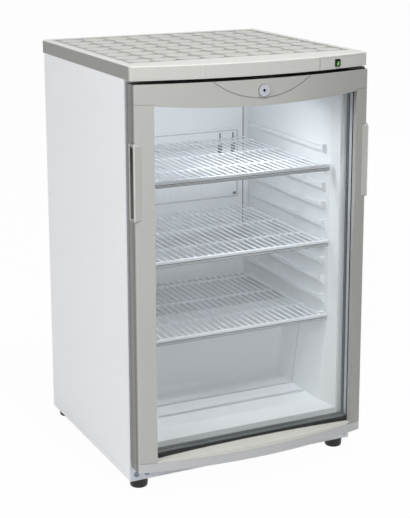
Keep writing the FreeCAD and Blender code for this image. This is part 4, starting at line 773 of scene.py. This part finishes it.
DOOR_SKIN = dict(rough=0.4, grain=1300.0, depth=3e-5, marks=0.3)
INSIDE_SKIN = dict(rough=0.4, grain=520.0, depth=2e-5, tone=0.015)
SHELF_SKIN = dict(rough=0.3, grain=300.0, depth=4e-5, tone=0.02)
PLATED = (900.0, 900.0, 60.0)
finishes = {
    "cabinet_white": plain_finish("white_sheet", rgb(243, 244, 246), rough=0.42, grain=620.0, depth=2.5e-5,
                                  tone=0.012, marks=0.3, shade=cabinet_shade),
    "galvanised": zinc_finish(),
    "foam": plain_finish("foam_block", rgb(226, 214, 170), rough=0.9, grain=420.0, depth=4e-4, tone=0.08),
    "liner_white": plain_finish("liner_sheet", rgb(237, 240, 243), rough=0.34, grain=330.0, depth=2e-5,
                                tone=0.015, shade=liner_shade),
    "panel_white": plain_finish("inside_moulding", MOULDING_WHITE, **INSIDE_SKIN),
    "diffuser": diffuser_finish(),
    "worktop_grey": plain_finish("worktop_moulding", rgb(194, 194, 190), rough=0.44, grain=1150.0,
                                 depth=5e-5, marks=0.4, shade=worktop_shade),
    "door_grey": plain_finish("door_frame", DOOR_GREY, shade=door_shade, **DOOR_SKIN),
    "glass": pane_finish(),
    "spacer": spacer_finish(),
    "inner_frame_grey": plain_finish("inner_frame", rgb(46, 51, 53), rough=0.5),
    "gasket": plain_finish("gasket_vinyl", rgb(110, 113, 114), rough=0.55, grain=1500.0, depth=3e-5,
                           tone=0.04, shade=gasket_shade),
    "lock_chrome": metal_finish("lock_plating", rgb(198, 201, 210), rough=0.33,
                                squeeze=(1400.0, 60.0, 1400.0), shade=lock_shade),
    "hinge_steel": metal_finish("plated_steel", rgb(190, 192, 196), rough=0.34, squeeze=PLATED),
    "bush_nylon": plain_finish("nylon_bush", rgb(232, 230, 220), rough=0.45, grain=1200.0),
    "black_plastic": plain_finish("black_moulding", rgb(24, 24, 25), rough=0.42, grain=1500.0, depth=5e-5,
                                  dust=0.08),
    "rocker_green": plain_finish("rocker_moulding", rgb(20, 20, 21), rough=0.3, grain=2200.0, depth=2e-5),
    "foot_black": plain_finish("foot_moulding", rgb(11, 11, 12), rough=0.5, grain=800.0, depth=6e-5,
                               tone=0.08, dust=0.03),
    "compressor_black": plain_finish("compressor_enamel", rgb(25, 26, 28), rough=0.3, grain=260.0,
                                     depth=6e-5, tone=0.1, dust=0.4, coat=0.3),
    "condenser_black": plain_finish("condenser_paint", rgb(27, 27, 28), rough=0.45, grain=700.0, tone=0.1,
                                    dust=0.35),
    "copper": metal_finish("copper_pipe", rgb(205, 138, 104), rough=0.32, squeeze=(500.0, 500.0, 500.0),
                           tone=0.1, tarnish=rgb(118, 74, 54)),
    # The evaporator plate is made dark as painted shade seen through the rear panel's air slots.
    "evaporator": metal_finish("aluminium_plate", rgb(70, 73, 76), rough=0.36, squeeze=(60.0, 900.0, 900.0)),
    "shelf_white": plain_finish("shelf_coating", SHELF_WHITE, **SHELF_SKIN),
    "tray_grey": plain_finish("tray_moulding", rgb(150, 152, 154), rough=0.5, grain=1000.0, dust=0.15),
}
grip_finish = plain_finish("grip_moulding", DOOR_GREY, shade=grip_shade, **DOOR_SKIN)
own_finishes = {
    "left_grip": grip_finish,
    "right_grip": grip_finish,
    "rear_air_panel": plain_finish("ridged_panel", MOULDING_WHITE, shade=ridge_shade, **INSIDE_SKIN),
    # The upper hinge is made near black as the painted shadow in the gap under the lid.
    "upper_hinge": plain_finish("hinge_gap_shadow", rgb(38, 39, 41), rough=0.45),
}
for name, cad in nodes.items():
    for holder in cad.material_slots:
        holder.material = own_finishes.get(name, finishes[slot_of[name]])

# Added pieces

# Gasket: a folded vinyl section round the door, with mitred corners.
across, along = bellows(width=18.0, depth=GASKET_FREE - GASKET_BACK)
gasket = round_frame(across, GASKET_BACK + along, GASKET_HALF, GASKET_LOW, GASKET_HIGH)
piece("gasket_bellows", gasket, grid_quads(*gasket.shape[:2], ring_rows=True), "door",
      finishes["gasket"], stands_for=("door_gasket",), smooth=False)

# Cross recess screws of both hinges, the spare holes' screws at the lower left, and the rear panel's.
HINGE_SCREWS_X, LOW_SCREWS_Z, HIGH_SCREWS_Z, HINGE_FACE = (241.0, 218.5), 33.0, 838.0, -2.5
hinge_spots = [(x, HINGE_FACE, z) for x in HINGE_SCREWS_X for z in (HIGH_SCREWS_Z, LOW_SCREWS_Z)]
hinge_spots += [(-x, 0.0, LOW_SCREWS_Z) for x in HINGE_SCREWS_X]
heads = facing_front(pan_head(radius=5.6, height=2.4, shank=2.2, length=12.0), hinge_spots)
blue_plating = metal_finish("blue_plating", rgb(134, 150, 160), rough=0.36, squeeze=PLATED)
piece("hinge_screw_heads", heads, many(heads), "cabinet", blue_plating,
      stands_for=("hinge_screws",))
PANEL_SCREW_X, PANEL_SCREWS_Z, PANEL_FACE = 170.5, (489.0, 764.0), 383.0
panel_spots = [(x, PANEL_FACE, z) for x in (-PANEL_SCREW_X, PANEL_SCREW_X) for z in PANEL_SCREWS_Z]
heads = facing_front(pan_head(radius=4.0, height=2.2, shank=2.2, length=10.0), panel_spots)
dark_plating = metal_finish("dark_plating", rgb(98, 101, 105), rough=0.4, squeeze=PLATED)
piece("panel_screw_heads", heads, many(heads), "cabinet", dark_plating,
      stands_for=("panel_screws",))

# Rounded trim along the front of each shelf.
trim_finish = plain_finish("shelf_trim", SHELF_WHITE, shade=trim_shade, **SHELF_SKIN)
for level, shelf_top in zip(("lower", "middle", "upper"), SHELF_TOPS):
    trim = front_bead(TRIM_HALF, shelf_top, TRIM_BACK)
    piece(f"{level}_shelf_trim", trim, grid_quads(*trim.shape[:2]), f"{level}_shelf",
          trim_finish)

# Strips that close the rear panel's two edges to the walls, and dark pads behind its air slots that stand
# for their painted shadow.
strip_finish = plain_finish("corner_strip", rgb(230, 233, 237), shade=strip_shade, **INSIDE_SKIN)
for label, side in (("left", -1), ("right", 1)):
    strip = corner_strip(side, STRIP_INNER, STRIP_OUTER, front=384.0, thick=1.2, curl=3.0,
                         bottom=405.0, top=789.0)
    piece(f"{label}_corner_strip", strip, grid_quads(*strip.shape[:2]), "cabinet",
          strip_finish)
# Dark pads behind the air slots: painted shadow in the slots.
SLOTS_X, SLOTS_Z, SHADOW_PAD_Y = (-167.0, -134.0, 134.0, 167.0), 606.0, 385.9
shadow_pads = pill(half_u=8.0, half_v=29.0, proud=0.3, sunk=0.3, rows=9)
shadow_pads = facing_front(shadow_pads, [(x, SHADOW_PAD_Y, SLOTS_Z) for x in SLOTS_X])
shadow_pad_finish = plain_finish("slot_shadow_pads", rgb(26, 27, 29), rough=0.95, grain=1800.0, depth=2e-4, tone=0.1)
piece("slot_shadow_pads", shadow_pads, many(shadow_pads), "cabinet", shadow_pad_finish)

# The rocker's green window follows the shallow V of the rocker's face, tilted with it and turned with the
# fascia.
SWITCH_AT, FASCIA_TURN = (176.0, -52.77, 839.3), math.radians(11.18)
ROCKER_PIVOT, ROCKER_PROUD, ROCKER_DISH, ROCKER_HALF, ROCKER_TILT = 3.5, 2.6, 0.8, 5.1, math.radians(9.0)
u, v, w = np.moveaxis(pill(half_u=1.7, half_v=3.8, proud=0.45, sunk=0.25), -1, 0)
face = -ROCKER_PROUD + ROCKER_DISH * (1 - np.abs(v) / ROCKER_HALF) - w
from_pivot, rise = turned(face - ROCKER_PIVOT, v, ROCKER_TILT)
turned_x, turned_y = turned(u, from_pivot + ROCKER_PIVOT, FASCIA_TURN)
window = np.stack([turned_x, turned_y, rise], -1) + SWITCH_AT
piece("rocker_window", window, grid_quads(*window.shape[:2]), "switch", lens_finish())

# Setting marks round the thermostat knob, on the underside of the lamp housing.
MARK_RADIUS, MARK_TURN, MARK_COUNT = 18.5, 150.0, 11
turns = np.radians(np.linspace(-MARK_TURN, MARK_TURN, MARK_COUNT))[:, None, None]
u, v, w = np.moveaxis(pill(half_u=0.55, half_v=2.2, proud=0.35, sunk=0.3, rows=9, cols=20), -1, 0)
mark_x, mark_y = turned(u, -(v + MARK_RADIUS), turns)
marks = np.stack([KNOB_X + mark_x, LAMP_MIDDLE + mark_y, LAMP_UNDER - w + 0 * turns], -1)
mark_grey = plain_finish("setting_marks", rgb(92, 95, 99), rough=0.5, grain=1500.0)
piece("setting_marks", marks, many(marks), "cabinet", mark_grey)

# Weld seam of the compressor's two shell halves.
_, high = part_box("compressor")
seam = weld_bead(SHELL_X, SHELL_Y, high.z / MM - SHELL_SEAM_DROP, SHELL_RADIUS, proud=1.6, tall=7.0,
                 gap_from=math.radians(26.0), gap_to=math.radians(36.0))
piece("compressor_seam", seam, grid_quads(*seam.shape[:2], ring_rows=True), "cabinet",
      finishes["compressor_black"])

# Studio


def seen_rays(tree):
    """One for what the camera sees, straight, through glass or in a reflection."""
    path = put(tree, "LightPath").outputs
    seen = either_of(tree, path["Is Camera Ray"], path["Is Transmission Ray"])
    return either_of(tree, seen, path["Is Glossy Ray"])


FLOOR_GREY, FLOOR_WHITE, FLOOR_HALF, FLOOR_ROWS = (0.6, 0.6, 0.6, 1.0), 0.975, 14.0, 5


def floor_finish():
    """A pale floor: white to the camera and in reflections, with part of the object's soft shadow kept."""
    made, tree, shader = blank("pale_floor")
    feed(tree, shader, {"Base Color": FLOOR_GREY, "Roughness": 0.9})
    white = put(tree, "Emission", {"Color": WHITE, "Strength": 1.0})
    share = both_of(tree, seen_rays(tree), FLOOR_WHITE)
    both = put(tree, "MixShader", {0: share, 1: shader.outputs[0], 2: white.outputs[0]})
    tree.links.new(both.outputs[0], tree.nodes["Material Output"].inputs["Surface"])
    return made


floor_side = np.linspace(-FLOOR_HALF, FLOOR_HALF, FLOOR_ROWS)
floor_x, floor_y = np.meshgrid(floor_side, floor_side, indexing="ij")
floor_points = np.stack([floor_x, floor_y, 0 * floor_x], -1).reshape(-1, 3)
floor_quads = grid_quads(FLOOR_ROWS, FLOOR_ROWS, ring_cols=False)[:, ::-1]
floor_mesh = bpy.data.meshes.new("floor")
floor_mesh.from_pydata(floor_points.tolist(), [], floor_quads.tolist())
floor_mesh.materials.append(floor_finish())
floor = bpy.data.objects.new("floor", floor_mesh)
bpy.context.scene.collection.objects.link(floor)

AMBIENT, SKY_TINT = 0.15, (0.98, 0.99, 1.0, 1.0)
world = bpy.data.worlds.new("studio")
bpy.context.scene.world = world
world.use_nodes = True
sky = world.node_tree
sky.nodes.clear()
soft = put(sky, "Background", {"Color": SKY_TINT, "Strength": AMBIENT})
white = put(sky, "Background", {"Color": WHITE, "Strength": 1.0})
both = put(sky, "MixShader", {0: seen_rays(sky), 1: soft.outputs[0], 2: white.outputs[0]})
sky.links.new(both.outputs[0], put(sky, "OutputWorld").inputs["Surface"])


def soft_box(name, at, aim, wide, tall, power, colour=WHITE):
    """An area lamp that stands at one place and faces another, unseen by the camera and in reflections."""
    lamp = bpy.data.lights.new(name, "AREA")
    lamp.shape, lamp.size, lamp.size_y = "RECTANGLE", wide, tall
    lamp.energy, lamp.color = power, colour[:3]
    made = bpy.data.objects.new(name, lamp)
    bpy.context.scene.collection.objects.link(made)
    back = np.subtract(at, aim)
    back = back / np.linalg.norm(back)
    level = np.cross((0.0, 0.0, 1.0), back)
    level = level / np.linalg.norm(level)
    turn = np.stack([level, np.cross(back, level), back, at], -1)
    made.matrix_world = Matrix([*turn.tolist(), (0.0, 0.0, 0.0, 1.0)])
    made.visible_camera = False
    made.visible_glossy = False


AIM = (0.0, -0.2, 0.45)
for name, at, size, power in (
    ("high_lamp", (-0.07, -1.20, 3.45), 0.12, 72.0),
    ("left_lamp", (-3.25, -1.45, 1.80), 1.6, 69.0),
    ("rear_lamp", (2.45, 2.55, 1.90), 1.6, 46.0),
    ("front_lamp", (-0.35, -3.40, 0.85), 0.9, 19.0),
):
    soft_box(name, at, AIM, size, size, power)
lamp_at = placed([0.0, LAMP_MIDDLE, LAMP_UNDER - 8.0])
lamp_aim = lamp_at + (0.0, 0.05, -0.3)
soft_box("cabinet_lamp", lamp_at, lamp_aim, wide=0.12, tall=0.04, power=0.66, colour=SKY_TINT)

CAMERA_AT = (-1.196237, -2.491866, 1.181332)
CAMERA_YAW, CAMERA_PITCH = 0.45916, 0.221991
CAMERA_SENSOR, CAMERA_LENS, CAMERA_SHIFT = 36.0, 93.15, (-0.02276, -0.14)
lens = bpy.data.cameras.new("camera")
lens.sensor_width, lens.lens = CAMERA_SENSOR, CAMERA_LENS
lens.shift_x, lens.shift_y = CAMERA_SHIFT
camera = bpy.data.objects.new("camera", lens)
bpy.context.scene.collection.objects.link(camera)
camera.location = CAMERA_AT
camera.rotation_euler = (math.pi / 2 - CAMERA_PITCH, 0.0, -CAMERA_YAW)
bpy.context.scene.camera = camera
bpy.context.scene.view_settings.view_transform = "Standard"
